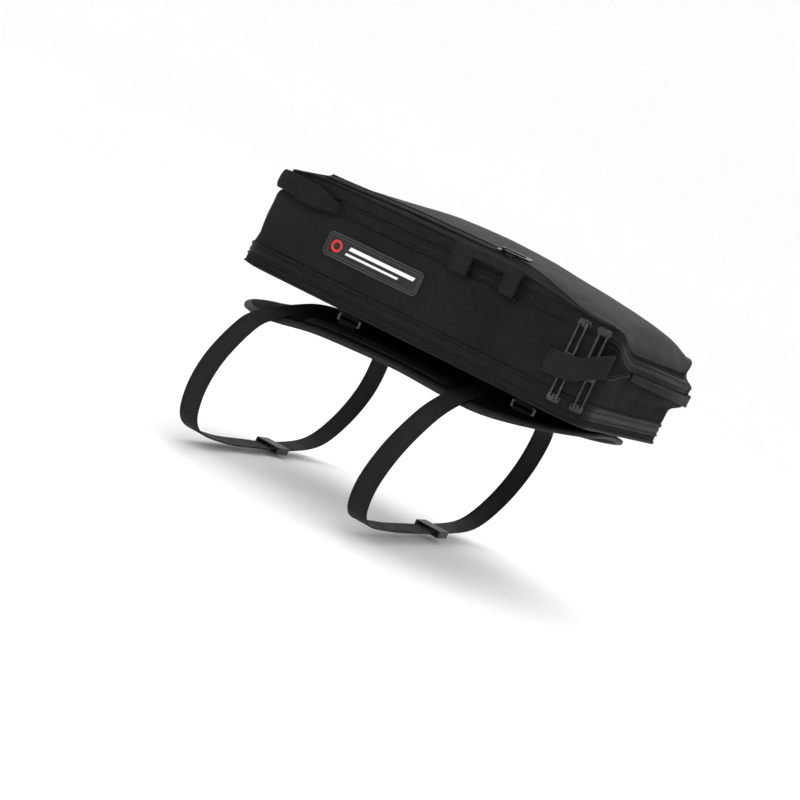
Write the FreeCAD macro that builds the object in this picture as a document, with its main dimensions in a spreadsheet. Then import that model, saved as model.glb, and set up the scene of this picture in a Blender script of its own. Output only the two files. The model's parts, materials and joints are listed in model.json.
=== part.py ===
import FreeCAD, Part
import math
import os
import Sketcher

# Soft tail bag on a padded seat mat.  Millimetres, +X to the front of the vehicle, +Z up.
# The origin is the middle of the mat's underside, where it rests on the crown of the seat.
# The near side, which carries the badge and the grab handle, faces -Y.

DIMENSIONS = {
    "bag_length": 380, "bag_width": 280, "corner": 25,
    "mat_thick": 4.4, "bag_foot": 7, "wall_foot": 30,
    "lower_zip": 22, "main_zip": 95,
    "slot": 1.2, "tape": 3.1, "piping": 1.3, "fabric": 1.5, "foam": 4, "lining": 0.8,
    "zip_end": -150, "wrap_end": -118,
    "board_z": 98, "board_front": 158, "board_thick": 3.5, "shoulder_y": 112,
    "mat_front": 182, "mat_rear": -217, "mat_half": 135, "mat_round": 100, "binding": 8,
    "belt_wide": 22, "belt_thick": 1.4, "front_belt_x": 74, "rear_belt_x": -137,
    "front_belt_lean": 0.23, "rear_belt_lean": 0.2, "rear_belt_drop": 3.2,
    "main_slider_x": 155, "lower_slider_x": 158, "main_turn": 22, "lower_turn": 35, "hinge_out": 3.6,
    "main_pull": 36, "lower_pull": 33, "pocket_pull": 30,
    "pocket_x": 45, "pocket_y": -119, "pocket_z": 121.6, "pocket_tilt": 15,
    "pocket_from": -150, "pocket_to": 52,
    "handle_out": 7, "handle_thick": 2.2, "handle_foot": 88,
    "badge_length": 109, "badge_height": 25, "badge_x": -61.5, "badge_z": 60.5,
    "keeper_out": 4.8, "keeper_thick": 1.2, "keeper_wide": 24, "keeper_low": 37.5, "keeper_rise": 4.5,
    "keeper_climb": 19,
}

# Stations along the lid: x, height of the side edge, of the shoulder and of the crown.
LID_STATIONS = [(-190, 108, 112.5, 116), (-150, 115, 122.5, 124.5), (-70, 115, 122.5, 131.5),
                (0, 115, 122.5, 134), (60, 115, 122.5, 130), (110, 110, 119, 125),
                (155, 103.2, 112, 119.5), (190, 103, 104.5, 110.5)]

# Stations across the front face: y, how far the main zip has dropped, and height of the lid's seam.
FRONT_STATIONS = [(-127.5, 0, 103), (-115, 8, 95.2), (-100, 12.5, 91.8), (-77, 18, 89), (0, 18.8, 88.5),
                  (100, 20.5, 88), (115, 8, 95.2), (127.5, 0, 103)]

# Stations along the mat: x, height of the underside at the middle and at the side edge.
MAT_STATIONS = [(-235, -34, -54), (-160, -12, -40), (-100, -1, -26), (0, 0, -21), (80, 0, -25),
                (190, 0, -17)]

# Half of one belt loop, from the crown of the mat down to the middle of the bottom run: y, z.
BELT_ROUTE = [(0, 5.1), (40, 3.1), (80, -3.2), (115, -12.4), (139, -20.8), (168, -43), (187, -85),
              (181, -128), (146, -160), (72, -168)]

LID_LOW = 60
TALL = 400
CORNER_START = 165
SLIDER_HALF = 6.5
BLADE_HALF = 3.5

doc = FreeCAD.newDocument("tail_bag")
sheet = doc.addObject("Spreadsheet::Sheet", "dims")
NODES = []


class Size:
    """A length together with the sheet expression that it comes from."""

    def __init__(self, value, text):
        self.value = float(value)
        self.text = text

    def __add__(self, other):
        other = as_size(other)
        return Size(self.value + other.value, f"({self.text} + {other.text})")

    def __sub__(self, other):
        other = as_size(other)
        return Size(self.value - other.value, f"({self.text} - {other.text})")

    def __mul__(self, factor):
        return Size(self.value * factor, f"({self.text} * {factor})")

    def __neg__(self):
        return self * -1


def as_size(number):
    """Let a plain number stand where a size is expected."""
    return number if isinstance(number, Size) else Size(number, f"({number})")


def dim(alias):
    """One driving dimension, as its number and its sheet expression."""
    return Size(DIMENSIONS[alias], f"dims.{alias}")


def fill_sheet():
    """Write every driving dimension into the sheet under its alias."""
    for index, (x, edge, shoulder, crown) in enumerate(LID_STATIONS):
        names = (f"lid_x_{index}", f"lid_edge_{index}", f"lid_shoulder_{index}", f"lid_crown_{index}")
        DIMENSIONS.update(zip(names, (x, edge, shoulder, crown)))
    for index, (y, drop, seam) in enumerate(FRONT_STATIONS):
        names = (f"front_y_{index}", f"front_drop_{index}", f"front_seam_{index}")
        DIMENSIONS.update(zip(names, (y, drop, seam)))
    for index, (x, crown, edge) in enumerate(MAT_STATIONS):
        DIMENSIONS.update(zip((f"mat_x_{index}", f"mat_crown_{index}", f"mat_edge_{index}"), (x, crown, edge)))
    for row, (alias, value) in enumerate(DIMENSIONS.items(), start=1):
        sheet.set(f"A{row}", alias)
        sheet.set(f"B{row}", str(value))
        sheet.setAlias(f"B{row}", alias)
    doc.recompute()


# ---- sketches ---------------------------------------------------------------------------------


def new_body(name):
    """An empty body that later becomes one sub-part or a tool for one."""
    return doc.addObject("PartDesign::Body", name)


def new_sketch(body, role, offset=None):
    """A sketch on one of the body's own origin planes, moved off it by an optional size."""
    sketch = body.newObject("Sketcher::SketchObject", body.Name + "_sketch")
    plane = next(item for item in body.Origin.OriginFeatures if item.Role == role)
    sketch.AttachmentSupport = [(plane, "")]
    sketch.MapMode = "FlatFace"
    if offset is not None:
        sketch.setExpression("AttachmentOffset.Base.z", offset.text)
    return sketch


def bind(sketch, kind, geometry, point, size):
    """Fix one coordinate of a sketch point to a size from the sheet."""
    index = sketch.addConstraint(Sketcher.Constraint(kind, -1, 1, geometry, point, size.value))
    sketch.setExpression(f"Constraints[{index}]", size.text)


def polygon(sketch, corners):
    """A closed outline of straight sides whose corners are pairs of sizes."""
    corners = [(as_size(x), as_size(y)) for x, y in corners]
    spots = [FreeCAD.Vector(x.value, y.value, 0) for x, y in corners]
    first = sketch.GeometryCount
    count = len(spots)
    for index, spot in enumerate(spots):
        sketch.addGeometry(Part.LineSegment(spot, spots[(index + 1) % count]), False)
    joints = [Sketcher.Constraint("Coincident", first + index, 2, first + (index + 1) % count, 1)
              for index in range(count)]
    sketch.addConstraint(joints)
    for index, (x, y) in enumerate(corners):
        bind(sketch, "DistanceX", first + index, 1, x)
        bind(sketch, "DistanceY", first + index, 1, y)


def rectangle(sketch, x_low, x_high, y_low, y_high):
    """A plain rectangle between four sizes."""
    polygon(sketch, [(x_low, y_low), (x_high, y_low), (x_high, y_high), (x_low, y_high)])


def rounded(sketch, x_low, x_high, y_low, y_high, radius):
    """A rectangle with four equal rounded corners, between four sizes."""
    x_low, x_high, y_low, y_high = (as_size(item) for item in (x_low, x_high, y_low, y_high))
    radius = as_size(radius)
    first = sketch.GeometryCount
    r = radius.value
    corners = [(x_high.value - r, y_low.value + r, -90), (x_high.value - r, y_high.value - r, 0),
               (x_low.value + r, y_high.value - r, 90), (x_low.value + r, y_low.value + r, 180)]
    ends = []
    for cx, cy, start in corners:
        circle = Part.Circle(FreeCAD.Vector(cx, cy, 0), FreeCAD.Vector(0, 0, 1), r)
        a, b = math.radians(start), math.radians(start + 90)
        sketch.addGeometry(Part.ArcOfCircle(circle, a, b), False)
        ends.append((FreeCAD.Vector(cx + r * math.cos(a), cy + r * math.sin(a), 0),
                     FreeCAD.Vector(cx + r * math.cos(b), cy + r * math.sin(b), 0)))
    for index in range(4):
        sketch.addGeometry(Part.LineSegment(ends[index][1], ends[(index + 1) % 4][0]), False)
    joints = []
    for index in range(4):
        line = first + 4 + index
        joints.append(Sketcher.Constraint("Tangent", first + index, 2, line, 1))
        joints.append(Sketcher.Constraint("Tangent", line, 2, first + (index + 1) % 4, 1))
        joints.append(Sketcher.Constraint("Vertical" if index % 2 == 0 else "Horizontal", line))
    for index in range(1, 4):
        joints.append(Sketcher.Constraint("Equal", first, first + index))
    sketch.addConstraint(joints)
    turn = sketch.addConstraint(Sketcher.Constraint("Radius", first, r))
    sketch.setExpression(f"Constraints[{turn}]", radius.text)
    bind(sketch, "DistanceX", first + 4, 1, x_high)
    bind(sketch, "DistanceY", first + 5, 1, y_high)
    bind(sketch, "DistanceX", first + 6, 1, x_low)
    bind(sketch, "DistanceY", first + 7, 1, y_low)


def bag_outline(sketch, offset):
    """The bag's plan outline, moved outward by the offset."""
    offset = as_size(offset)
    half_x = dim("bag_length") * 0.5 + offset
    half_y = dim("bag_width") * 0.5 + offset
    rounded(sketch, -half_x, half_x, -half_y, half_y, dim("corner") + offset)


# ---- features ---------------------------------------------------------------------------------


def pad(body, sketch, length, symmetric=False):
    """Pad a sketch by a size, upward or to both sides."""
    feature = body.newObject("PartDesign::Pad", body.Name + "_pad")
    feature.Profile = sketch
    feature.SideType = "Symmetric" if symmetric else "One side"
    feature.setExpression("Length", as_size(length).text)
    return feature


def cut_through(body, sketch):
    """Cut a sketch right through the body, both ways."""
    feature = body.newObject("PartDesign::Pocket", body.Name + "_cut")
    feature.Profile = sketch
    feature.SideType = "Symmetric"
    feature.Type = "ThroughAll"
    return feature


def plate(name, z_low, thick, outline):
    """A flat piece between two heights; outline draws its plan in the sketch."""
    body = new_body(name)
    sketch = new_sketch(body, "XY_Plane", as_size(z_low))
    outline(sketch)
    pad(body, sketch, thick)
    return body


def front_line(shift):
    """The main zip's centre line seen from the front, moved by shift: it drops between the corners."""
    height = dim("main_zip") + shift
    count = len(FRONT_STATIONS)
    dropped = [(dim(f"front_y_{index}"), height - dim(f"front_drop_{index}")) for index in range(count)]
    return [(-TALL * 0.5, height)] + dropped + [(TALL * 0.5, height)]


def seam_line(shift):
    """The lid's seam seen from the front, moved by shift."""
    count = len(FRONT_STATIONS)
    points = [(dim(f"front_y_{index}"), dim(f"front_seam_{index}") + shift) for index in range(count)]
    return [(-TALL * 0.5, points[0][1])] + points + [(TALL * 0.5, points[-1][1])]


def main_band(low, high, x_low=-TALL * 0.5):
    """Side and front profiles of a band that follows the main zip between two shifts."""
    height = dim("main_zip")
    side = flat_band(height + low, height + high, x_low, CORNER_START)
    return side, front_line(low) + front_line(high)[::-1]


def under_zip(z_low, shift):
    """Side and front profiles of a wall from a level foot up to the main zip."""
    side = flat_band(z_low, dim("main_zip") + shift, -TALL * 0.5, CORNER_START)
    return side, [(-TALL * 0.5, z_low)] + front_line(shift) + [(TALL * 0.5, z_low)]


def flat_band(z_low, z_high, x_low=-TALL * 0.5, x_high=TALL * 0.5):
    """A side profile between two level heights."""
    return [(x_low, z_low), (x_high, z_low), (x_high, z_high), (x_low, z_high)]


def ring(name, profile, outer, inner, front=None):
    """A wall that follows the bag's plan outline, with given offsets and a side profile.

    A front profile, seen from the front, takes over where the front corners start."""
    body = new_body(name)
    side = new_sketch(body, "XZ_Plane")
    polygon(side, profile)
    pad(body, side, TALL, symmetric=True)
    if front is not None:
        ahead = new_sketch(body, "YZ_Plane", as_size(CORNER_START))
        polygon(ahead, front)
        pad(body, ahead, TALL * 0.5)
    around = new_sketch(body, "XY_Plane")
    rectangle(around, -TALL, TALL, -TALL, TALL)
    bag_outline(around, outer)
    cut_through(body, around)
    hollow = new_sketch(body, "XY_Plane")
    bag_outline(hollow, inner)
    cut_through(body, hollow)
    return body


def node(item, label):
    """Register an object as a named sub-part."""
    item.Label = label
    NODES.append(item)
    return item


def solid_node(shape, label):
    """A free-form sub-part whose shape comes straight from solids."""
    item = doc.addObject("Part::Feature", label + "_shape")
    item.Shape = shape
    return node(item, label)


def common(name, base, tool):
    """What two objects share."""
    item = doc.addObject("Part::Common", name)
    item.Base = base
    item.Tool = tool
    return item


def cut(name, base, tool):
    """One object with another taken away."""
    item = doc.addObject("Part::Cut", name)
    item.Base = base
    item.Tool = tool
    return item


def group(name, items):
    """Several separate pieces held as one sub-part."""
    item = doc.addObject("Part::Compound", name)
    item.Links = items
    return item


# ---- the shell: walls, seams and zips -----------------------------------------------------------


def build_walls():
    """The bag's side wall with its padding and lining, and the short wall under the lower zip."""
    fabric = dim("fabric")
    foam_in = -(fabric + dim("foam") + 0.1)
    wall_foot = dim("wall_foot")
    wall, wall_front = under_zip(wall_foot, -6.2)
    node(ring("side_wall_body", wall, 0, -fabric, wall_front), "side_wall")
    foam, foam_front = under_zip(wall_foot + 1, -9)
    node(ring("wall_foam_body", foam, -(fabric + 0.1), foam_in, foam_front), "wall_foam")
    lining, lining_front = under_zip(wall_foot, -7.5)
    deep = foam_in - 0.1
    node(ring("wall_lining_body", lining, deep, deep - dim("lining"), lining_front), "wall_lining")
    low = dim("bag_foot") + 3.2
    lower = flat_band(low, dim("lower_zip") - 6.2)
    node(ring("lower_wall_body", lower, 0, -fabric), "lower_wall")


def build_pipings():
    """The welts that cover the seams above and below each zip and round the bottom."""
    out = dim("piping")
    wrap = dim("wrap_end")
    lower = dim("lower_zip")
    foot = dim("bag_foot")
    for label, profiles in (("bottom_piping", [flat_band(foot + 0.3, foot + 3.1)]),
                            ("lower_zip_bottom_piping", [flat_band(lower - 6.1, lower - 3.8)]),
                            ("lower_zip_top_piping", [flat_band(lower + 3.8, dim("wall_foot") - 0.1)]),
                            ("main_zip_bottom_piping", main_band(-6.1, -3.8, wrap)),
                            ("main_zip_top_piping", main_band(3.8, 6.1, wrap))):
        side, front = (list(profiles) + [None])[:2]
        node(ring(label + "_body", side, out, -dim("fabric") + 0.4, front), label)


def build_zips():
    """Each zip as two half chains on their tapes, with the closed chain's slot between them."""
    near = dim("slot") * 0.5
    far = near + dim("tape")
    zip_end = dim("zip_end")
    lower = dim("lower_zip")
    for label, profiles in (("lower_zip_bottom", [flat_band(lower - far, lower - near)]),
                            ("lower_zip_top", [flat_band(lower + near, lower + far)]),
                            ("main_zip_bottom", main_band(-far, -near, zip_end)),
                            ("main_zip_top", main_band(near, far, zip_end))):
        side, front = (list(profiles) + [None])[:2]
        node(ring(label + "_body", side, 0.4, -1.8, front), label)


def build_hinge():
    """The fabric strip that hinges the lid at the back, and the padded wrap over it."""
    half = TALL * 0.5
    zip_end = dim("zip_end") - 0.2
    strip = flat_band(dim("main_zip") - 3.7, dim("main_zip") + 3.7, -half, zip_end)
    node(ring("hinge_strip_body", strip, -0.3, -1.3), "hinge_strip")
    wrap = [(-half, 84), (dim("wrap_end"), 84), (dim("wrap_end"), 106.5), (-half, 106.5)]
    node(ring("hinge_wrap_body", wrap, 5, 1.5), "hinge_wrap")


def build_gusset():
    """The folded fabric gusset behind the lower zip."""
    folded = flat_band(dim("bag_foot") + 6, dim("wall_foot") - 1)
    node(ring("expansion_gusset_body", folded, -5.5, -6.9), "expansion_gusset")


def build_floor():
    """The bottom panel, its stiffening board and the lining over it."""
    foot = dim("bag_foot")
    node(plate("base_panel_body", foot, 1.5, lambda s: bag_outline(s, -dim("fabric"))), "base_panel")
    node(plate("base_board_body", foot + 1.6, 2.5, lambda s: bag_outline(s, -8)), "base_board")
    node(plate("base_lining_body", foot + 4.2, 0.8, lambda s: bag_outline(s, -7)), "base_lining")


# ---- the lid --------------------------------------------------------------------------------------


def lid_section(body, index, drop):
    """One cross-section of the lid: upright sides, sloping shoulders and an arched crown."""
    x, edge, shoulder, crown = (dim(f"lid_{part}_{index}") for part in ("x", "edge", "shoulder", "crown"))
    sketch = new_sketch(body, "YZ_Plane", x)
    side, inside, low = dim("bag_width") * 0.5, dim("shoulder_y"), as_size(LID_LOW)
    edge, shoulder, crown = edge - drop, shoulder - drop, crown - drop
    spots = [(-inside, shoulder), (-side, edge), (-side, low), (side, low), (side, edge), (inside, shoulder)]
    vectors = [FreeCAD.Vector(a.value, b.value, 0) for a, b in spots]
    top = FreeCAD.Vector(0, crown.value, 0)
    for start, end in zip(vectors, vectors[1:]):
        sketch.addGeometry(Part.LineSegment(start, end), False)
    sketch.addGeometry(Part.Arc(vectors[-1], top, vectors[0]), False)
    sketch.addGeometry(Part.Point(top), True)
    arc, mark = 5, 6
    arc_start = 1 if sketch.Geometry[arc].StartPoint.distanceToPoint(vectors[-1]) < 1 else 2
    joints = [Sketcher.Constraint("Coincident", line, 2, line + 1, 1) for line in range(4)]
    joints.append(Sketcher.Constraint("Coincident", 4, 2, arc, arc_start))
    joints.append(Sketcher.Constraint("Coincident", arc, 3 - arc_start, 0, 1))
    joints.append(Sketcher.Constraint("PointOnObject", mark, 1, arc))
    sketch.addConstraint(joints)
    for line, (a, b) in enumerate(spots[:5]):
        bind(sketch, "DistanceX", line, 1, a)
        bind(sketch, "DistanceY", line, 1, b)
    bind(sketch, "DistanceX", 4, 2, inside)
    bind(sketch, "DistanceY", 4, 2, shoulder)
    bind(sketch, "DistanceX", mark, 1, as_size(0))
    bind(sketch, "DistanceY", mark, 1, crown)
    return sketch


def lid_mass(name, drop):
    """The lid's solid form, lofted through its stations and lowered by drop."""
    body = new_body(name)
    sections = [lid_section(body, index, drop) for index in range(len(LID_STATIONS))]
    loft = body.newObject("PartDesign::AdditiveLoft", name + "_loft")
    loft.Profile = sections[0]
    loft.Sections = sections[1:]
    loft.Ruled = True
    return body


def edge_line(shift):
    """The seam between the lid's side band and its top, seen from the side, up to the front corners."""
    count = len(LID_STATIONS) - 1
    points = [(dim(f"lid_x_{index}"), dim(f"lid_edge_{index}") + shift) for index in range(count)]
    last = dim("front_seam_0") + shift
    return [(as_size(-TALL * 0.5), points[0][1])] + points + [(as_size(CORNER_START), last)]


def lid_pocket_slit(sketch):
    """The opening in the lid's near strip that the pocket zip closes."""
    middle = dim("pocket_y")
    rectangle(sketch, dim("pocket_from"), dim("pocket_to"), middle - 4.5, middle + 4.5)


def side_tool(name, side, front):
    """A tall block with a side profile up to the front corners and a front profile from there on."""
    body = new_body(name)
    sketch = new_sketch(body, "XZ_Plane")
    polygon(sketch, side)
    pad(body, sketch, TALL, symmetric=True)
    if front is not None:
        ahead = new_sketch(body, "YZ_Plane", as_size(CORNER_START))
        polygon(ahead, front)
        pad(body, ahead, TALL * 0.5)
    return body


def build_lid_cover():
    """The lid's cover as a side band and a top, cut from one hollow cap."""
    outer_plan = plate("lid_outer_plan", 0, 200, lambda s: bag_outline(s, 0))
    inner_plan = plate("lid_inner_plan", 0, 200, lambda s: bag_outline(s, -dim("fabric")))
    outer = common("lid_outer", lid_mass("lid_outer_mass", as_size(0)), outer_plan)
    inner = common("lid_inner", lid_mass("lid_inner_mass", dim("fabric")), inner_plan)
    cap = cut("lid_cap", outer, inner)
    foot = dim("main_zip") + 6.2
    half = TALL * 0.5
    below = side_tool("lid_band_tool", [(-half, foot), (CORNER_START, foot)] + edge_line(-0.02)[::-1],
                      front_line(6.2) + seam_line(-0.02)[::-1])
    above = side_tool("lid_top_tool", edge_line(0.02) + [(CORNER_START, 180), (-half, 180)],
                      seam_line(0.02) + [(half, 180), (-half, 180)])
    node(common("lid_band_part", cap, below), "lid_band")
    slit = plate("lid_slit_tool", 60, 120, lid_pocket_slit)
    node(cut("lid_top_part", common("lid_top_whole", cap, above), slit), "lid_top")
    seam = ring("lid_edge_piping_body", edge_line(-1.9) + edge_line(0.3)[::-1], dim("piping"), 0,
                seam_line(-1.9) + seam_line(0.3)[::-1])
    node(seam, "lid_edge_piping")


def build_lid_inside():
    """The foam board that keeps the lid flat, and the lining under it."""
    board = dim("board_z")
    low, high, side = -dim("bag_length") * 0.5 + 8, dim("board_front"), dim("bag_width") * 0.5 - 8
    for label, height, thick in (("lid_board", board, dim("board_thick")), ("lid_lining", board - 1, 0.8)):
        node(plate(label + "_body", height, thick, lambda s: rounded(s, low, high, -side, side, 17)), label)


# ---- sliders and pullers ----------------------------------------------------------------------------
# Each is drawn with its chain along X, the tape's width along Y and the outside of the bag at +Z.


def box_in(body_name, x_low, x_high, y_low, y_high, z_low, thick, radius=None):
    """A small block with optional rounded plan corners."""
    def outline(sketch):
        if radius is None:
            rectangle(sketch, x_low, x_high, y_low, y_high)
        else:
            rounded(sketch, x_low, x_high, y_low, y_high, radius)
    return plate(body_name, z_low, thick, outline)


def slider(name, depth, crosswise=False):
    """A zip slider: outer and inner blades, the web between them and the bail for the puller."""
    half, blade = SLIDER_HALF, BLADE_HALF
    outer = box_in(name + "_outer", -half, half, -blade, blade, 0.7, 1.2, 2)
    inner = box_in(name + "_inner", -half, half, -blade, blade, -depth, 1.1, 2)
    web = box_in(name + "_web", -half + 1, -2, -0.3, 0.3, -depth + 1, depth - 0.2)
    bail = box_in(name + "_bail", -1.6, 1.6, -1.9, 1.9, 1.8, 3.6, 0.8)
    hole = doc.addObject("Part::Cylinder", name + "_hole")
    hole.Radius = 1.2
    hole.Height = 8
    hole.setExpression("Placement.Base.z", dim("hinge_out").text)
    if crosswise:
        hole.Placement.Base.y = 4
        hole.Placement.Rotation = FreeCAD.Rotation(FreeCAD.Vector(1, 0, 0), 90)
    else:
        hole.Placement.Base.x = -4
        hole.Placement.Rotation = FreeCAD.Rotation(FreeCAD.Vector(0, 1, 0), 90)
    drilled = cut(name + "_drilled", bail, hole)
    body = doc.addObject("Part::MultiFuse", name + "_whole")
    body.Shapes = [outer, inner, web, drilled]
    return body


def puller(name, length):
    """A flat two-bar pull whose top bar turns in the slider's bail and which hangs along -Y."""
    body = new_body(name)
    sketch = new_sketch(body, "XY_Plane")
    rounded(sketch, -4.5, 4.5, -length, 0.65, 0.6)
    rounded(sketch, -3.1, 3.1, -length + 6, -0.65, 0.5)
    pad(body, sketch, 1.3, symmetric=True)
    return body


def turned(x_axis, y_axis, z_axis):
    """The rotation that takes the drawing axes to three given directions."""
    return FreeCAD.Rotation(FreeCAD.Vector(*x_axis), FreeCAD.Vector(*y_axis), FreeCAD.Vector(*z_axis), "ZXY")


def place(item, rotation, x, y, z):
    """Turn an object and bind its place to sizes."""
    item.Placement = FreeCAD.Placement(FreeCAD.Vector(0, 0, 0), rotation)
    for axis, size in (("x", x), ("y", y), ("z", z)):
        item.setExpression(f"Placement.Base.{axis}", as_size(size).text)


def build_zip_pulls():
    """The sliders of both zips: one of each on the near side and one just round the front corner."""
    near_face = -dim("bag_width") * 0.5
    out = dim("hinge_out")
    centre_x = dim("bag_length") * 0.5 - dim("corner")
    centre_y = near_face + dim("corner")
    hanging = turned((1, 0, 0), (0, 0, 1), (0, -1, 0))
    standing = turned((-1, 0, 0), (0, 0, -1), (0, -1, 0))
    for label, way in (("main", hanging), ("lower", standing)):
        height, length = dim(label + "_zip"), dim(label + "_pull")
        x = dim(label + "_slider_x")
        near_slider = slider(label + "_near", 3.5)
        place(near_slider, hanging, x, near_face, height)
        node(near_slider, label + "_slider_near")
        near_pull = puller(label + "_pull_near", length)
        place(near_pull, way, x, near_face - out, height)
        node(near_pull, label + "_puller_near")
        angle = math.radians(dim(label + "_turn").value)
        round_corner = FreeCAD.Rotation(FreeCAD.Vector(0, 0, 1), math.degrees(angle))
        reach = dim("corner")
        front_slider = slider(label + "_front", 4.9)
        place(front_slider, round_corner.multiply(hanging), centre_x + reach * math.sin(angle),
              centre_y - reach * math.cos(angle), height)
        node(front_slider, label + "_slider_front")
        reach = reach + out
        front_pull = puller(label + "_pull_front", length)
        place(front_pull, round_corner.multiply(way), centre_x + reach * math.sin(angle),
              centre_y - reach * math.cos(angle), height)
        node(front_pull, label + "_puller_front")


def build_pocket_zip():
    """The lid pocket's zip, lying on the sloping near strip, with its slider and puller."""
    tilt = dim("pocket_tilt").value
    slope = FreeCAD.Rotation(FreeCAD.Vector(1, 0, 0), tilt)
    x, y, z = dim("pocket_x"), dim("pocket_y"), dim("pocket_z")
    near = dim("slot") * 0.5
    halves = [box_in("pocket_tape_" + side, dim("pocket_from") - 3, dim("pocket_to") + 3, low, high, -0.6, 1)
              for side, low, high in (("low", -near - 5.6, -near), ("high", near, near + 5.6))]
    tapes = group("pocket_tapes", halves)
    place(tapes, slope, 0, y, z)
    node(tapes, "pocket_zip")
    runner = slider("pocket", 2.1, crosswise=True)
    place(runner, slope, x, y, z)
    node(runner, "pocket_slider")
    pull = puller("pocket_pull", dim("pocket_pull"))
    ahead = slope.multiply(FreeCAD.Rotation(FreeCAD.Vector(0, 0, 1), 90))
    lift_y = dim("hinge_out") * -math.sin(math.radians(tilt))
    lift_z = dim("hinge_out") * math.cos(math.radians(tilt))
    place(pull, ahead, x, y + lift_y, z + lift_z)
    node(pull, "pocket_puller")


# ---- trim on the outside ------------------------------------------------------------------------------


def build_badge():
    """The blank rubber badge with a raised rim."""
    body = new_body("badge_body")
    half_l, half_h = dim("badge_length") * 0.5, dim("badge_height") * 0.5
    face = new_sketch(body, "XY_Plane")
    rounded(face, -half_l, half_l, -half_h, half_h, 4)
    pad(body, face, 1)
    rim = new_sketch(body, "XY_Plane")
    rounded(rim, -half_l, half_l, -half_h, half_h, 4)
    rounded(rim, -half_l + 1.5, half_l - 1.5, -half_h + 1.5, half_h - 1.5, 2.5)
    pad(body, rim, 1.5)
    near_face = -dim("bag_width") * 0.5 - 0.05
    place(body, turned((1, 0, 0), (0, 0, 1), (0, -1, 0)), dim("badge_x"), near_face, dim("badge_z"))
    node(body, "badge")


def build_side_handle():
    """The near side's webbing grab handle and the two feet that are sewn into the seam."""
    near_face = -dim("bag_width") * 0.5
    upright = turned((1, 0, 0), (0, 0, 1), (0, -1, 0))
    foot = dim("handle_foot")
    bar = new_body("side_handle_body")
    outline = new_sketch(bar, "XY_Plane")
    polygon(outline, [(10, -1), (37, -1), (41, 9), (62, 9), (66, -1), (88, -1), (88, 27), (10, 27)])
    pad(bar, outline, dim("handle_thick"))
    place(bar, upright, 0, near_face - dim("handle_out"), foot)
    node(bar, "side_handle")
    feet = [box_in("foot_" + side, low, high, -2, 0.6, 1.4, dim("handle_out") - 2)
            for side, low, high in (("rear", 12, 35), ("front", 68, 86))]
    pair = group("side_handle_feet_pair", feet)
    place(pair, upright, 0, near_face, foot)
    node(pair, "side_handle_feet")


def smooth_edge(points):
    """One smooth edge through the given points."""
    curve = Part.BSplineCurve()
    curve.interpolate(points)
    return curve


def ribbon(points, thick, height, z_low):
    """A standing band of webbing along a smooth plan curve, thick on the right of its direction."""
    inner_points = [FreeCAD.Vector(x, y, z_low) for x, y in points]
    inner = smooth_edge(inner_points)
    outer_points = []
    for point in inner_points:
        along = inner.tangent(inner.parameter(point))[0]
        outer_points.append(point + FreeCAD.Vector(along.y, -along.x, 0) * thick)
    outer = smooth_edge(outer_points[::-1])
    first_cap = Part.LineSegment(inner_points[-1], outer_points[-1])
    last_cap = Part.LineSegment(outer_points[0], inner_points[0])
    edges = [item.toShape() for item in (inner, first_cap, outer, last_cap)]
    return Part.Face(Part.Wire(edges)).extrude(FreeCAD.Vector(0, 0, height))


def front_tool(name, profile):
    """A block in front of the bag with a given front profile."""
    body = new_body(name)
    sketch = new_sketch(body, "YZ_Plane", as_size(CORNER_START))
    polygon(sketch, profile)
    pad(body, sketch, TALL * 0.5)
    return body


def build_front_handle():
    """The loose band across the front face, under the main zip."""
    route = [(190.2, -62), (196, -35), (203, 0), (206.5, 45), (204.5, 90), (190.2, 116)]
    band = doc.addObject("Part::Feature", "front_handle_band")
    band.Shape = ribbon(route, 1.4, 60, 30)
    top = [(y, height) for y, height in front_line(-6.6)[4:7]]
    low = [(dim("bag_width") * 0.5, as_size(55)), (-dim("bag_width") * 0.5, as_size(66))]
    ends = [(as_size(-TALL * 0.5), top[0][1]), (as_size(TALL * 0.5), top[-1][1])]
    tool = front_tool("front_handle_tool", [ends[0]] + top + [ends[1]] + low)
    node(common("front_handle_part", band, tool), "front_handle")


def build_keeper():
    """The strap round the near front corner that tucks the pulls in, sewn at both ends."""
    out = dim("keeper_out")
    strap = ring("keeper_ring", flat_band(20, 90), out + dim("keeper_thick"), out)
    near_end = ring("keeper_near_end", flat_band(20, 90, 131, 134), out + dim("keeper_thick"), 0.1)
    front_end = ring("keeper_front_end", flat_band(20, 90), out + dim("keeper_thick"), 0.9)
    corner = box_in("keeper_corner", 131, 220, -170, -128, 0, 120)
    front_stop = box_in("keeper_front_stop", 170, 220, -131, -128, 0, 120)
    parts = doc.addObject("Part::MultiFuse", "keeper_parts")
    parts.Shapes = [common("keeper_strap", strap, corner), common("keeper_near_tab", near_end, corner),
                    common("keeper_front_tab", front_end, front_stop)]
    low = dim("keeper_low")
    high = low + dim("keeper_wide")
    rise, climb = dim("keeper_rise"), dim("keeper_climb")
    profile = [(130, low), (168, low + rise), (190, low + climb), (220, low + climb),
               (220, high + climb), (190, high + climb), (168, high + rise), (130, high)]
    node(common("keeper_final", parts, side_tool("keeper_shape", profile, None)), "pull_keeper")


def build_corner_patch():
    """The reinforcement patch under the zip's drop, at the near end of the front face."""
    patch = ring("corner_patch_ring", flat_band(40, 100), 0.8, 0.05)
    top = [(y, height) for y, height in front_line(-6.6)[:5]]
    profile = top + [(-68, as_size(70)), (-68, as_size(67)), (-TALL * 0.5, as_size(54))]
    node(common("corner_patch_part", patch, front_tool("corner_patch_tool", profile)), "corner_patch")


# ---- the mat and its belts ------------------------------------------------------------------------------


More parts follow.
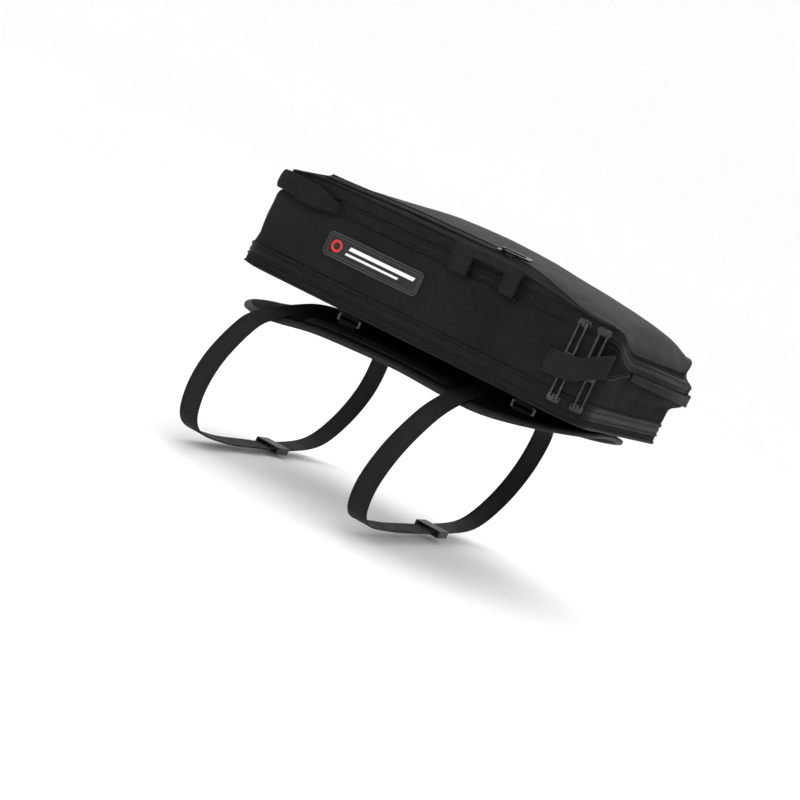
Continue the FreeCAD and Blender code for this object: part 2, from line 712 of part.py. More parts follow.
def mat_section(x, crown, edge, thick):
    """One cross-section of the mat: an arched strip of even thickness, closed at both sides."""
    half = dim("mat_half").value
    low = [FreeCAD.Vector(x, y, z) for y, z in ((-half, edge), (0, crown), (half, edge))]
    high = [point + FreeCAD.Vector(0, 0, thick) for point in low]
    return Part.Wire([Part.Arc(*low).toShape(), Part.LineSegment(low[2], high[2]).toShape(),
                      Part.Arc(*high[::-1]).toShape(), Part.LineSegment(high[0], low[0]).toShape()])


def mat_sheet(name, lift, thick):
    """The saddle-shaped sheet of the mat at a given lift and thickness, lofted through its stations."""
    item = doc.addObject("Part::Feature", name)
    sections = []
    for index in range(len(MAT_STATIONS)):
        x, crown, edge = (dim(f"mat_{part}_{index}").value for part in ("x", "crown", "edge"))
        sections.append(mat_section(x, crown + lift, edge + lift, thick))
    item.Shape = Part.makeLoft(sections, True, True)
    return item


def mat_plan(name, inset):
    """A tall block with the mat's plan outline, taken in by inset."""
    inset = as_size(inset)
    half = dim("mat_half") - inset
    low, high = dim("mat_rear") + inset, dim("mat_front") - inset
    return plate(name, -100, 200, lambda s: rounded(s, low, high, -half, half, dim("mat_round") - inset))


def build_mat():
    """The anti-slip mat, the tape that binds its edge and the webbing strips sewn on its top."""
    binding = dim("binding")
    thick = dim("mat_thick").value
    inner = mat_plan("mat_inner_plan", binding)
    node(common("seat_mat_part", mat_sheet("mat_slab", 0, thick), inner), "seat_mat")
    rim = common("mat_rim", mat_sheet("mat_thick_slab", -0.4, thick + 0.8), mat_plan("mat_outer_plan", 0))
    node(cut("mat_binding_part", rim, mat_plan("mat_rim_cut", binding)), "mat_binding")
    strips = [common("mat_strip_" + side, mat_sheet("mat_strip_slab_" + side, thick + 0.05, 1),
                     box_in("mat_strip_plan_" + side, -112, 50, low, high, -100, 200))
              for side, low, high in (("near", -122, -106), ("far", 106, 122))]
    belts = [box_in("mat_gap_" + side, x - 24, x + 24, -200, 200, -100, 200)
             for side, x in (("front", dim("front_belt_x")), ("rear", dim("rear_belt_x")))]
    gaps = group("mat_strip_gaps", belts)
    node(cut("mat_webbing_part", group("mat_strips", strips), gaps), "mat_webbing")


def belt_loop(x, lean, drop):
    """A flat belt in a closed loop round the seat, leaning backward as it goes down."""
    side = [FreeCAD.Vector(0, y, z) for y, z in BELT_ROUTE]
    other = [FreeCAD.Vector(0, -y, z) for y, z in BELT_ROUTE[:0:-1]]
    curve = Part.BSplineCurve()
    curve.interpolate(side + [FreeCAD.Vector(0, 0, -169)] + other, PeriodicFlag=True)
    inner = Part.Wire([curve.toShape()])
    outer = inner.makeOffset2D(dim("belt_thick").value)
    loops = sorted((inner, outer), key=lambda wire: wire.BoundBox.DiagonalLength)
    face = Part.Face([loops[1], loops[0]])
    face.validate()
    wide = dim("belt_wide").value
    belt = face.extrude(FreeCAD.Vector(wide, 0, 0))
    shear = FreeCAD.Matrix()
    shear.A13 = lean
    shear.A14 = x - wide * 0.5
    shear.A34 = -drop
    return belt.transformGeometry(shear)


def build_belts():
    """The two belts that hold the mat to the seat, each with a ladder buckle underneath."""
    buckles = []
    for end, drop in (("front", 0), ("rear", dim("rear_belt_drop").value)):
        x, lean = dim(end + "_belt_x").value, dim(end + "_belt_lean").value
        solid_node(belt_loop(x, lean, drop), end + "_belt")
        middle = x - 168 * lean
        frame = Part.makeBox(30, 26, 7.6, FreeCAD.Vector(middle - 15, 40, -172.8 - drop))
        window = Part.makeBox(24.5, 30, 5.2, FreeCAD.Vector(middle - 12.25, 38, -171.6 - drop))
        buckles.append(frame.cut(window))
    solid_node(Part.makeCompound(buckles), "belt_buckles")


def tab_round_bar(x, y, low, high, bar_low):
    """A folded webbing tab with a slot for a ring's bar."""
    tab = Part.makeBox(19, 4.6, high - low, FreeCAD.Vector(x - 9.5, y - 2.3, low))
    return tab.cut(Part.makeBox(30, 2.6, 2.6, FreeCAD.Vector(x - 15, y - 1.3, bar_low - 0.3)))


def build_hold_downs():
    """Webbing tabs and metal rings that tie the bag to the mat near its corners."""
    rings = []
    tabs = []
    top = dim("bag_foot").value - 0.1
    for x, mat_top in ((-78, -9.4), (122, -7.7)):
        for y in (-100, 100):
            frame = Part.makeBox(26, 2, 8, FreeCAD.Vector(x - 13, y - 1, -5.5))
            rings.append(frame.cut(Part.makeBox(21, 4, 4, FreeCAD.Vector(x - 10.5, y - 2, -3.5))))
            tabs.append(tab_round_bar(x, y, -1.1, top, 0.5))
            tabs.append(tab_round_bar(x, y, mat_top + 1.2, -2, -5.5))
    solid_node(Part.makeCompound(rings), "hold_down_rings")
    solid_node(Part.makeCompound(tabs), "hold_down_tabs")


# ---- build, check and write -----------------------------------------------------------------------------


def build_all():
    """Build every sub-part."""
    for step in (build_walls, build_pipings, build_zips, build_hinge, build_gusset, build_floor,
                 build_lid_cover, build_lid_inside, build_zip_pulls, build_pocket_zip, build_badge,
                 build_side_handle, build_front_handle, build_keeper, build_corner_patch, build_mat,
                 build_belts, build_hold_downs):
        step()
    doc.recompute()


def check_all():
    """Stop if any object failed, or if a sub-part's shape is empty or not valid."""
    failed = [item.Name for item in doc.Objects if {"Invalid", "Error"} & set(item.State)]
    if failed:
        raise RuntimeError(f"failed objects: {failed}")
    for item in NODES:
        if item.Shape.isNull() or not item.Shape.isValid() or not item.Shape.Solids:
            raise RuntimeError(f"bad shape: {item.Label}")


def write_all():
    """Write each sub-part to its own file."""
    os.makedirs("parts", exist_ok=True)
    for item in NODES:
        item.Shape.exportStep(f"parts/{item.Label}.step")
        print(f"{item.Label}: {item.Shape.Volume:.0f} mm3, {len(item.Shape.Solids)} solids")


fill_sheet()
build_all()
check_all()
write_all()
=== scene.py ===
import json
import math

import bmesh
import bpy
import numpy as np
from mathutils import Matrix, Vector, noise


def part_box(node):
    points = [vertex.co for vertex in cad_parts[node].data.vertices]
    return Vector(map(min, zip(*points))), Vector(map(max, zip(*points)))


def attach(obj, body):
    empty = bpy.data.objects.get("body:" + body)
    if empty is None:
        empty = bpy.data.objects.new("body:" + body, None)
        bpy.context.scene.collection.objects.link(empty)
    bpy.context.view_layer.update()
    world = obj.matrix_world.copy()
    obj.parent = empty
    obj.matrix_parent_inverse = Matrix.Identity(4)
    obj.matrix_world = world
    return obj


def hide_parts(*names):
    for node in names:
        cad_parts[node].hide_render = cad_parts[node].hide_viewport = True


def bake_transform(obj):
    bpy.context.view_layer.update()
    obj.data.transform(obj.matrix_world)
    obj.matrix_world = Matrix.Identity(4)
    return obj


# A soft tail bag on its seat mat.  Shapes are worked out in millimetres, in the row frame:
# +X front, +Z up, and -Y the near side, which carries the badge and the grab handle.

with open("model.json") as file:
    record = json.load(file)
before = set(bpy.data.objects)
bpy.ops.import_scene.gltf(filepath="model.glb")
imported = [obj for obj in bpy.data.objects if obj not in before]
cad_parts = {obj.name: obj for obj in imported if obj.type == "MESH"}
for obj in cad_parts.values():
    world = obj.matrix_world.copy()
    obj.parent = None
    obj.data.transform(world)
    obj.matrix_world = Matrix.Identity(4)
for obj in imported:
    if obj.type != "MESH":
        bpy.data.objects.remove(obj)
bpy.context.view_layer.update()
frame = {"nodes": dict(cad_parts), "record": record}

MM = 0.001
UP, NEARWARD, FORWARD = np.eye(3)[2], -np.eye(3)[1], np.eye(3)[0]
HALF_X, HALF_Y, CORNER = 190.0, 140.0, 25.0

LID_STATIONS = ((-190, 108, 112.5, 116), (-150, 115, 122.5, 124.5), (-70, 115, 122.5, 131.5),
                (0, 115, 122.5, 134), (60, 115, 122.5, 130), (110, 110, 119, 125),
                (155, 103.2, 112, 119.5), (190, 103, 104.5, 110.5))
FRONT_STATIONS = ((-127.5, 0, 103), (-115, 8, 95.2), (-100, 12.5, 91.8), (-77, 18, 89), (0, 18.8, 88.5),
                  (100, 20.5, 88), (115, 8, 95.2), (127.5, 0, 103))
MAT_STATIONS = ((-235, -38, -57), (-160, -18, -40.5), (-100, -1, -26), (0, 0, -21), (80, 0, -25),
                (190, 0, -17))
BELT_ROUTE = ((0, 5.1), (40, 3.1), (80, -3.2), (115, -12.4), (139, -20.8), (168, -43), (187, -85),
              (181, -128), (146, -160), (72, -168), (0, -169))
REAR_BELT_ROUTE = ((0, -5.5), (40, -7.5), (80, -14.5), (112, -22.5), (138, -29), (164, -44), (181, -86),
                   (172, -128), (140, -160), (72, -171.2), (0, -172.2))
HANDLE_ROUTE = ((191.4, -62), (196, -35), (203, 0), (206.5, 45), (204.5, 90), (191.4, 114))
MAT_HALF, MAT_REAR, MAT_FRONT, MAT_ROUND, MAT_THICK = 135.0, -213.0, 182.0, 100.0, 4.4
WALL_FOOT, LOWER_ZIP, MAIN_ZIP, BAG_FOOT = 30.0, 22.0, 95.0, 7.0
SHOULDER, FRONT_START, WRAP_MIDDLE, POCKET_ZIP = 112.0, 165.0, 95.4, 121.2
ZIP_EDGE, RAIL_HALF, FLOOR_DROP, PUFF_FRAMES, PLEATS = 6.0, 6.7, 0.1795, 20, 16
FRONT_BULGE, REAR_BULGE, REAR_FOOT_BULGE, TOOTH_PITCH = 14.5, 6.0, 3.0, 1.7


# ---- smooth curves ----


def ease(t):
    """Smoothstep from 0 to 1, held at both ends."""
    t = np.clip(t, 0, 1)
    return t * t * (3 - 2 * t)


def table(stations, column, spread=14):
    """A height along X through the stations, with its kinks rounded over about spread millimetres."""
    xs = np.array([row[0] for row in stations], float)
    zs = np.array([row[column] for row in stations], float)
    grid = np.arange(xs[0] - 60, xs[-1] + 61, 1.0)
    pad = spread * 3
    weight = np.exp(-0.5 * (np.arange(-pad, pad + 1) / spread) ** 2)
    raw = np.pad(np.interp(grid, xs, zs), pad, mode="edge")
    heights = np.convolve(raw, weight / weight.sum(), mode="valid")
    return lambda x: np.interp(x, grid, heights)


def lowered(x, rest, front):
    """A height that holds along the sides and changes to another across the front face."""
    return rest + (front - rest) * ease((x - FRONT_START) / 6)


side_edge, lid_shoulder, lid_crown = (table(LID_STATIONS, column) for column in (1, 2, 3))
mat_middle, mat_side = (table(MAT_STATIONS, column, 18) for column in (1, 2))
front_drop, front_seam = (table(FRONT_STATIONS, column, 5) for column in (1, 2))


def main_zip(x, y):
    """Height of the main zip's centre line, which drops at the front corners."""
    return lowered(x, MAIN_ZIP, MAIN_ZIP - front_drop(y))


def lid_edge(x, y):
    """Height of the seam round the lid's top."""
    return lowered(x, side_edge(x), front_seam(y))


class Outline:
    """A rounded rectangle in plan, walked from the rear end of its near side, near side first."""

    def __init__(self, middle, half_x, half_y, corner):
        self.middle, self.half_x, self.half_y, self.corner = middle, half_x, half_y, corner
        self.side, self.front = 2 * (half_x - corner), 2 * (half_y - corner)
        self.turn = math.pi / 2 * corner
        self.around = 2 * (self.side + self.front) + 4 * self.turn

    def at(self, s, offset=0.0):
        """Points and outward normals at distances s."""
        s = np.asarray(s, float) % self.around
        point, out = np.zeros(s.shape + (3,)), np.zeros(s.shape + (3,))
        start = 0.0
        cx, cy = self.half_x - self.corner, self.half_y - self.corner
        centres = ((cx, -cy), (cx, cy), (-cx, cy), (-cx, -cy))
        for turn, (x, y) in enumerate(centres):
            length = self.front if turn % 2 else self.side
            heading = turn * math.pi / 2
            centre = np.array((self.middle + x, y, 0))
            ahead = np.array((math.cos(heading), math.sin(heading), 0))
            straight = (s >= start) & (s < start + length)
            out[straight] = (math.sin(heading), -math.cos(heading), 0)
            back = s[straight] - start - length
            point[straight] = centre + out[straight] * self.corner + back[:, None] * ahead
            start += length
            bend = (s >= start) & (s < start + self.turn)
            angle = heading + (s[bend] - start) / self.corner
            out[bend] = np.stack([np.sin(angle), -np.cos(angle), np.zeros_like(angle)], -1)
            point[bend] = centre + out[bend] * self.corner
            start += self.turn
        return point + out * np.asarray(offset)[..., None], out

    def near(self, x):
        """Distance along the outline to a point on the near side."""
        return x - self.middle + self.half_x - self.corner

    def ahead(self, y):
        """Distance along the outline to a point on the front face."""
        return self.side + self.turn + y + self.half_y - self.corner

    def far(self, x):
        """Distance along the outline to a point on the far side."""
        return self.side + self.front + 2 * self.turn + self.half_x - self.corner - x + self.middle

    def inside(self, x, y):
        """Distance inward from the outline to points."""
        qx = np.abs(x - self.middle) - (self.half_x - self.corner)
        qy = np.abs(y) - (self.half_y - self.corner)
        beyond = np.hypot(np.maximum(qx, 0), np.maximum(qy, 0))
        return self.corner - beyond - np.minimum(np.maximum(qx, qy), 0)

    def rounded(self, x, y):
        """Moves the corners of an even grid onto the rounded outline."""
        dx = np.abs(x - self.middle) - (self.half_x - self.corner)
        dy = np.abs(y) - (self.half_y - self.corner)
        corner = (dx > 0) & (dy > 0)
        safe_x, safe_y = np.maximum(dx, 1e-9), np.maximum(dy, 1e-9)
        half = math.pi / 4
        angle = np.where(dx >= dy, half * safe_y / safe_x, math.pi / 2 - half * safe_x / safe_y)
        reach = np.maximum(dx, dy)
        new_x = self.half_x - self.corner + reach * np.cos(angle)
        new_x = self.middle + np.sign(x - self.middle) * new_x
        new_y = np.sign(y) * (self.half_y - self.corner + reach * np.sin(angle))
        return np.where(corner, new_x, x), np.where(corner, new_y, y)


BAG = Outline(0, HALF_X, HALF_Y, CORNER)
MAT = Outline((MAT_REAR + MAT_FRONT) / 2, (MAT_FRONT - MAT_REAR) / 2, MAT_HALF, MAT_ROUND)


def spans(start, end, step):
    """Even distances from start to end."""
    return np.linspace(start, end, max(2, int(round((end - start) / step)) + 1))


def circle(count):
    """Even angles round a circle."""
    return np.arange(count) / count * 2 * math.pi


def plan_grid(outline, step):
    """A grid in plan that fills an outline, as x and y."""
    x, y = (spans(-half, half, step) for half in (outline.half_x, outline.half_y))
    return outline.rounded(*np.meshgrid(x + outline.middle, y, indexing="ij"))


def joined(x, y, z):
    """Joins x, y and heights into points; each may be one number."""
    return np.stack(np.broadcast_arrays(x, y, z), -1).astype(float)


def cad_box(node):
    """The corners of a CAD part's box, in millimetres."""
    return (np.array(corner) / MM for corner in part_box(node))


def wobble(points, size, scale, seed):
    """Smooth noise at each point, up to about size."""
    shift = Vector((seed, seed * 0.7, -seed))
    flat = points.reshape(-1, 3)
    values = [noise.noise(Vector(p) / scale + shift) for p in flat]
    return np.array(values).reshape(points.shape[:-1]) * size


def smooth_path(points, per=8, closed=False):
    """A Catmull-Rom line through the points."""
    p = np.array(points, float)
    if closed:
        p = np.vstack([p[-1:], p, p[:2]])
    else:
        p = np.vstack([2 * p[:1] - p[1:2], p, 2 * p[-1:] - p[-2:-1]])
    t = (np.arange(per) / per)[:, None]
    parts = []
    for a, b, c, d in zip(p, p[1:], p[2:], p[3:]):
        parts.append(0.5 * (2 * b + (c - a) * t + (2 * a - 5 * b + 4 * c - d) * t ** 2
                            + (3 * b - a - 3 * c + d) * t ** 3))
    line = np.vstack(parts)
    return line if closed else np.vstack([line, p[-2:-1]])


def unit(v):
    """Unit vectors."""
    return v / np.maximum(np.linalg.norm(v, axis=-1, keepdims=True), 1e-9)


def fuller(points):
    """Pushes the packed-out upper part of the front face forward, and the rear wall backward."""
    x, y, z = points[..., 0], points[..., 1], points[..., 2]
    across = ease((y + 75) / 110) * (1 - ease((y - 108) / 30))
    tall = ease((z - 47) / 9) * (1 - 0.9 * ease((z - 76) / 10))
    low = REAR_FOOT_BULGE * (1 - ease((z - 26) / 12))
    behind = (REAR_BULGE + low) * ease((z - 6.5) / 2) * (1 - ease((z - 84) / 5))
    moved = points.copy()
    moved[..., 0] += FRONT_BULGE * ease((x - 140) / 50) * across * tall
    moved[..., 0] -= behind * ease((-x - 120) / 60)
    return moved


# ---- meshes ----


class Shape:
    """A mesh under construction, in millimetres, whose UV map holds distances along the cloth."""

    def __init__(self):
        self.points, self.faces, self.lays, self.tags = [], [], [], []
        self.count = 0

    def face(self, corners, tag, lay=None):
        """Adds one face; without a lay it has no length along the cloth."""
        self.faces.append([int(k) for k in corners])
        self.lays.append(lay or [(0.0, 0.0)] * len(corners))
        self.tags.append(tag)

    def grid(self, points, loop=False, around=False, caps=False, tag=0, keep=None):
        """Adds a grid of points; loop joins its last row to its first, around its last column."""
        rows, cols = points.shape[:2]
        index = self.count + np.arange(rows * cols).reshape(rows, cols)
        self.points.append(points.reshape(-1, 3))
        self.count += rows * cols

        def distances(axis, closed):
            size = np.linalg.norm(np.roll(points, -1, axis) - points, axis=2).mean(axis=1 - axis)
            total = np.concatenate([[0], np.cumsum(size)])
            return total if closed else total[:-1]

        u, v = distances(0, loop), distances(1, around)
        if loop:
            index = np.vstack([index, index[:1]])
        if around:
            index = np.hstack([index, index[:, :1]])
        lay = np.stack(np.meshgrid(u, v, indexing="ij"), -1)
        for r in range(index.shape[0] - 1):
            for c in range(index.shape[1] - 1):
                if keep is None or keep[r, c]:
                    spots = ((r, c), (r + 1, c), (r + 1, c + 1), (r, c + 1))
                    self.face([index[k] for k in spots], tag, [lay[k] for k in spots])
        if caps:
            self.face(index[0, :cols][::-1], tag)
            self.face(index[-1, :cols], tag)
        return self

    def blocks(self, centre, along, across, up, size, taper=0.6, tag=0):
        """Adds small blocks, narrower on top, such as zip teeth or stitches."""
        length, width, height = (np.asarray(item, float) / 2 for item in size)
        corners = []
        for level, share in ((-1, 1.0), (1, taper)):
            for a, b in ((-1, -1), (1, -1), (1, 1), (-1, 1)):
                flat = centre + along * (a * length * share) + across * (b * width * share)
                corners.append(flat + up * (level * height))
        block = np.stack(corners, 1)
        sides = ((3, 2, 1, 0), (4, 5, 6, 7), (0, 1, 5, 4), (1, 2, 6, 5), (2, 3, 7, 6), (3, 0, 4, 7))
        for k in range(len(block)):
            first = self.count + 8 * k
            for side in sides:
                self.face([first + corner for corner in side], tag)
        self.points.append(block.reshape(-1, 3))
        self.count += 8 * len(block)

    def make(self, name, materials, closed=True, outside=True):
        """Turns the shape into a Blender object; pieces outside take the bag's fuller form."""
        mesh = bpy.data.meshes.new(name)
        points = np.vstack(self.points)
        mesh.from_pydata(((fuller(points) if outside else points) * MM).tolist(), [], self.faces)
        layer = mesh.uv_layers.new(name="lay")
        lay = np.array([pair for face in self.lays for pair in face])
        layer.data.foreach_set("uv", (lay * MM).ravel())
        for material in materials:
            mesh.materials.append(MATERIALS[material])
        mesh.polygons.foreach_set("material_index", self.tags)
        mesh.polygons.foreach_set("use_smooth", [True] * len(mesh.polygons))
        if closed:
            work = bmesh.new()
            work.from_mesh(mesh)
            bmesh.ops.recalc_face_normals(work, faces=work.faces)
            work.to_mesh(mesh)
            work.free()
        mesh.update()
        obj = bpy.data.objects.new(name, mesh)
        bpy.context.scene.collection.objects.link(obj)
        return obj


def fit(obj, body, replaces=(), slot=None, blend=None, padded=None):
    """Hangs a finished piece on its body, or bakes its place when it is blended, and hides the CAD
    parts it replaces.
    """
    if blend:
        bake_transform(obj)
    else:
        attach(obj, body)
    if replaces:
        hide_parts(*replaces)


def sew(shape, name, materials, body, nodes, slot):
    """Makes a closed piece and fits it; materials and nodes are names with spaces between them."""
    fit(shape.make(name, materials.split()), body, nodes.split(), slot)


def given(thing, **values):
    """Sets several properties of a Blender thing, in order."""
    for key, value in values.items():
        setattr(thing, key, value)
    return thing


def lay_cloth(shape, name, material, thick, body, node, slot, offset=-1.0, levels=0, **more):
    """Makes a single layer of one cloth, with its thickness, and fits it."""
    obj = thicken(shape.make(name, [material], closed=False), thick, offset, levels)
    fit(obj, body, [node], slot, **more)
    return obj


def thicken(obj, millimetres, offset=-1.0, levels=0):
    """Gives a sheet its thickness, and smooths it."""
    if levels:
        given(obj.modifiers.new("smooth", "SUBSURF"), levels=levels, render_levels=levels)
    given(obj.modifiers.new("thickness", "SOLIDIFY"), thickness=millimetres * MM, offset=offset)
    return obj


def creases(obj, degrees):
    """Keeps hard edges hard under smooth shading."""
    obj.data.set_sharp_from_angle(angle=math.radians(degrees))


def puff(obj, pinned, pressure, grow, cap):
    """Swells a fabric panel between its pinned seams with the cloth solver, then caps its motion."""
    rest = np.array([v.co for v in obj.data.vertices])
    seams = obj.vertex_groups.new(name="seams")
    seams.add([int(k) for k in pinned], 1.0, "REPLACE")
    solver = obj.modifiers.new("puff", "CLOTH")
    given(solver.settings, quality=6, mass=0.3, tension_stiffness=15.0, compression_stiffness=15.0,
          shear_stiffness=9.0, bending_stiffness=0.4, use_pressure=True,
          uniform_pressure_force=pressure, shrink_min=-grow, vertex_group_mass="seams")
    solver.settings.effector_weights.gravity = 0
    solver.collision_settings.use_collision = False
    given(solver.point_cache, frame_start=1, frame_end=PUFF_FRAMES)
    scene = bpy.context.scene
    for number in range(1, PUFF_FRAMES + 1):
        scene.frame_set(number)
    shown = obj.evaluated_get(bpy.context.evaluated_depsgraph_get())
    moved = np.array([v.co for v in shown.data.vertices])
    shift = moved - rest
    length = np.linalg.norm(shift, axis=1, keepdims=True)
    limit = cap * MM
    shift *= limit * np.tanh(length / limit) / np.maximum(length, 1e-9)
    obj.modifiers.remove(solver)
    obj.vertex_groups.remove(seams)
    obj.data.vertices.foreach_set("co", (rest + shift).astype(np.float32).ravel())
    obj.data.update()
    scene.frame_set(1)
    return obj


# ---- materials ----


class Paint:
    """A node material under construction."""

    def __init__(self, name, **sockets):
        self.material = bpy.data.materials.new(name)
        self.material.use_nodes = True
        self.tree = self.material.node_tree
        self.shader = next(n for n in self.tree.nodes if n.type == "BSDF_PRINCIPLED")
        for key, value in sockets.items():
            self.shader.inputs[key.replace("_", " ")].default_value = value

    def add(self, kind, inputs=None, **properties):
        """Adds a node; an input is given a number, a colour or another node's output."""
        made = given(self.tree.nodes.new("ShaderNode" + kind), **properties)
        for key, value in (inputs or {}).items():
            if isinstance(value, bpy.types.NodeSocket):
                self.tree.links.new(value, made.inputs[key])
            else:
                made.inputs[key].default_value = value
        return made

    def math(self, operation, a, b=0.0, c=0.0):
        """One sum on numbers or outputs."""
        return self.add("Math", {0: a, 1: b, 2: c}, operation=operation).outputs[0]

    def sum_of(self, a, share, b):
        """a times a share, plus b."""
        return self.math("MULTIPLY_ADD", a, share, b)

    def lay(self):
        """Distances along the cloth, in metres, as two numbers."""
        parts = self.add("SeparateXYZ", {0: self.add("UVMap", uv_map="lay").outputs[0]})
        return parts.outputs[0], parts.outputs[1]

    def noise(self, scale, detail, rough=0.6):
        """Smooth noise round 0.5, placed by the object's own metres."""
        place = self.add("TexCoord").outputs["Object"]
        return self.add("TexNoise", {"Vector": place, "Scale": scale, "Detail": detail,
                                     "Roughness": rough}).outputs["Fac"]

    def ramp(self, value, low, high, start, end):
        """Maps a number from one range to another, held at its ends."""
        return self.add("MapRange", {0: value, 1: low, 2: high, 3: start, 4: end}).outputs[0]

    def middle(self, value, start, end):
        """Maps the usual range of smooth noise to another."""
        return self.ramp(value, 0.3, 0.7, start, end)

    def wave(self, coordinate, pitch):
        """A sine of a distance, from -1 to 1."""
        return self.math("SINE", self.sum_of(coordinate, 2 * math.pi / (pitch * MM), 0.0))

    def colour(self, dark, light, amount):
        """Sets the base colour, mixed between two shades."""
        mixed = self.add("Mix", {"Factor": amount, "A": (*dark, 1), "B": (*light, 1)}, data_type="RGBA")
        self.tree.links.new(mixed.outputs["Result"], self.shader.inputs["Base Color"])
        return self

    def rough(self, amount):
        """Sets the roughness from a number or an output."""
        self.tree.links.new(amount, self.shader.inputs["Roughness"])
        return self

    def bump(self, height, strength, distance):
        """Raises the surface by a height, over a distance in millimetres."""
        node = self.add("Bump", {"Height": height, "Strength": strength, "Distance": distance * MM})
        self.tree.links.new(node.outputs[0], self.shader.inputs["Normal"])
        return self


def shade(level, tint=(1.0, 1.02, 1.06)):
    """A near-neutral dark shade."""
    return tuple(level * part for part in tint)


def cloth(name, dark, light, pitch, rough, sheen, bump, depth, gloss=0.2, slant=0.0):
    """Woven fabric: a basket of threads, with patchy wear and a little lint."""
    paint = Paint(name, Sheen_Weight=sheen, Sheen_Roughness=0.45, Specular_IOR_Level=gloss)
    u, v = paint.lay()
    if slant:
        u = paint.sum_of(v, slant, u)
    threads = paint.math("MULTIPLY", paint.wave(u, pitch), paint.wave(v, pitch))
    fine = paint.noise(1500, 2)
    patch = paint.noise(22, 4)
    height = paint.sum_of(fine, 0.7, threads)
    tone = paint.sum_of(threads, 0.3, paint.middle(patch, 0.15, 0.75))
    paint.colour(shade(dark), shade(light), paint.sum_of(fine, 0.35, tone))
    paint.rough(paint.middle(patch, *rough))
    paint.bump(height, bump, depth)
    return paint.material


def webbing_paint(name, dark, light):
    """Flat webbing: rows of slanted threads across its width, with patchy tone."""
    paint = Paint(name, Specular_IOR_Level=0.1)
    u, v = paint.lay()
    rows = paint.wave(v, 1.7)
    slope = paint.sum_of(paint.math("ABSOLUTE", rows), 0.0006, u)
    threads = paint.math("MULTIPLY", paint.wave(slope, 1.5), rows)
    fine = paint.noise(1800, 2)
    patch = paint.noise(30, 3)
    tone = paint.sum_of(threads, 0.22, paint.middle(patch, 0.2, 0.8))
    paint.colour(shade(dark), shade(light), tone)
    paint.rough(paint.middle(patch, 0.5, 0.72))
    paint.bump(paint.sum_of(fine, 0.5, threads), 0.6, 0.3)
    return paint.material


def rubber_paint(name, dark, light, grain, rough, bump):
    """Moulded rubber or plastic: fine grain, and scuffs that are a little lighter."""
    paint = Paint(name, Specular_IOR_Level=0.25)
    fine = paint.noise(grain, 3)
    scuff = paint.ramp(paint.noise(60, 6, 0.7), 0.55, 0.75, 0.0, 1.0)
    paint.colour(shade(dark), shade(light), scuff)
    paint.rough(paint.middle(fine, *rough))
    paint.bump(fine, bump, 0.15)
    return paint.material


def metal_paint(name, level, rough):
    """Black nickel: dark, glossy, and brighter where it has worn."""
    paint = Paint(name, Metallic=0.9, Coat_Weight=0.12, Coat_Roughness=0.12)
    wear = paint.ramp(paint.noise(240, 5, 0.7), 0.5, 0.72, 0.0, 1.0)
    paint.colour(shade(level), shade(level * 2.2), wear)
    paint.rough(paint.middle(paint.noise(500, 3), *rough))
    paint.bump(paint.noise(900, 2), 0.08, 0.05)
    return paint.material


def mat_paint(name):
    """The anti-slip pad: a coated face with a raised dotted grip pattern, in shades darkened as painted
    shade.
    """
    paint = Paint(name, Specular_IOR_Level=0.01)
    u, v = paint.lay()
    dots = paint.math("MULTIPLY", paint.wave(u, 3.2), paint.wave(v, 3.2))
    raised = paint.ramp(dots, 0.1, 0.6, 0.0, 1.0)
    patch = paint.noise(25, 4)
    tone = paint.sum_of(raised, 0.3, paint.middle(patch, 0.1, 0.6))
    # Both shades are set very dark to paint in the shade that falls on the pad under the bag: painted
    # shade.
    paint.colour(shade(0.003), shade(0.009), tone)
    paint.rough(paint.middle(patch, 0.5, 0.7))
    paint.bump(paint.sum_of(paint.noise(1200, 2), 0.4, raised), 0.6, 0.35)
    return paint.material


def print_paint(name, colour):
    """A printed mark with slightly uneven ink."""
    paint = Paint(name, Specular_IOR_Level=0.4)
    ink = paint.ramp(paint.noise(900, 4), 0.35, 0.65, 0.0, 1.0)
    paint.colour(tuple(part * 0.85 for part in colour), colour, ink)
    paint.rough(paint.ramp(ink, 0, 1, 0.5, 0.6))
    paint.bump(ink, 0.1, 0.05)
    return paint.material


def studio_paint(name):
    """The pale floor."""
    paint = Paint(name, Specular_IOR_Level=0.1)
    paint.colour((0.93, 0.93, 0.93), (0.95, 0.95, 0.95), paint.noise(0.7, 2))
    paint.rough(paint.ramp(paint.noise(2.0, 2), 0, 1, 0.9, 0.95))
    return paint.material


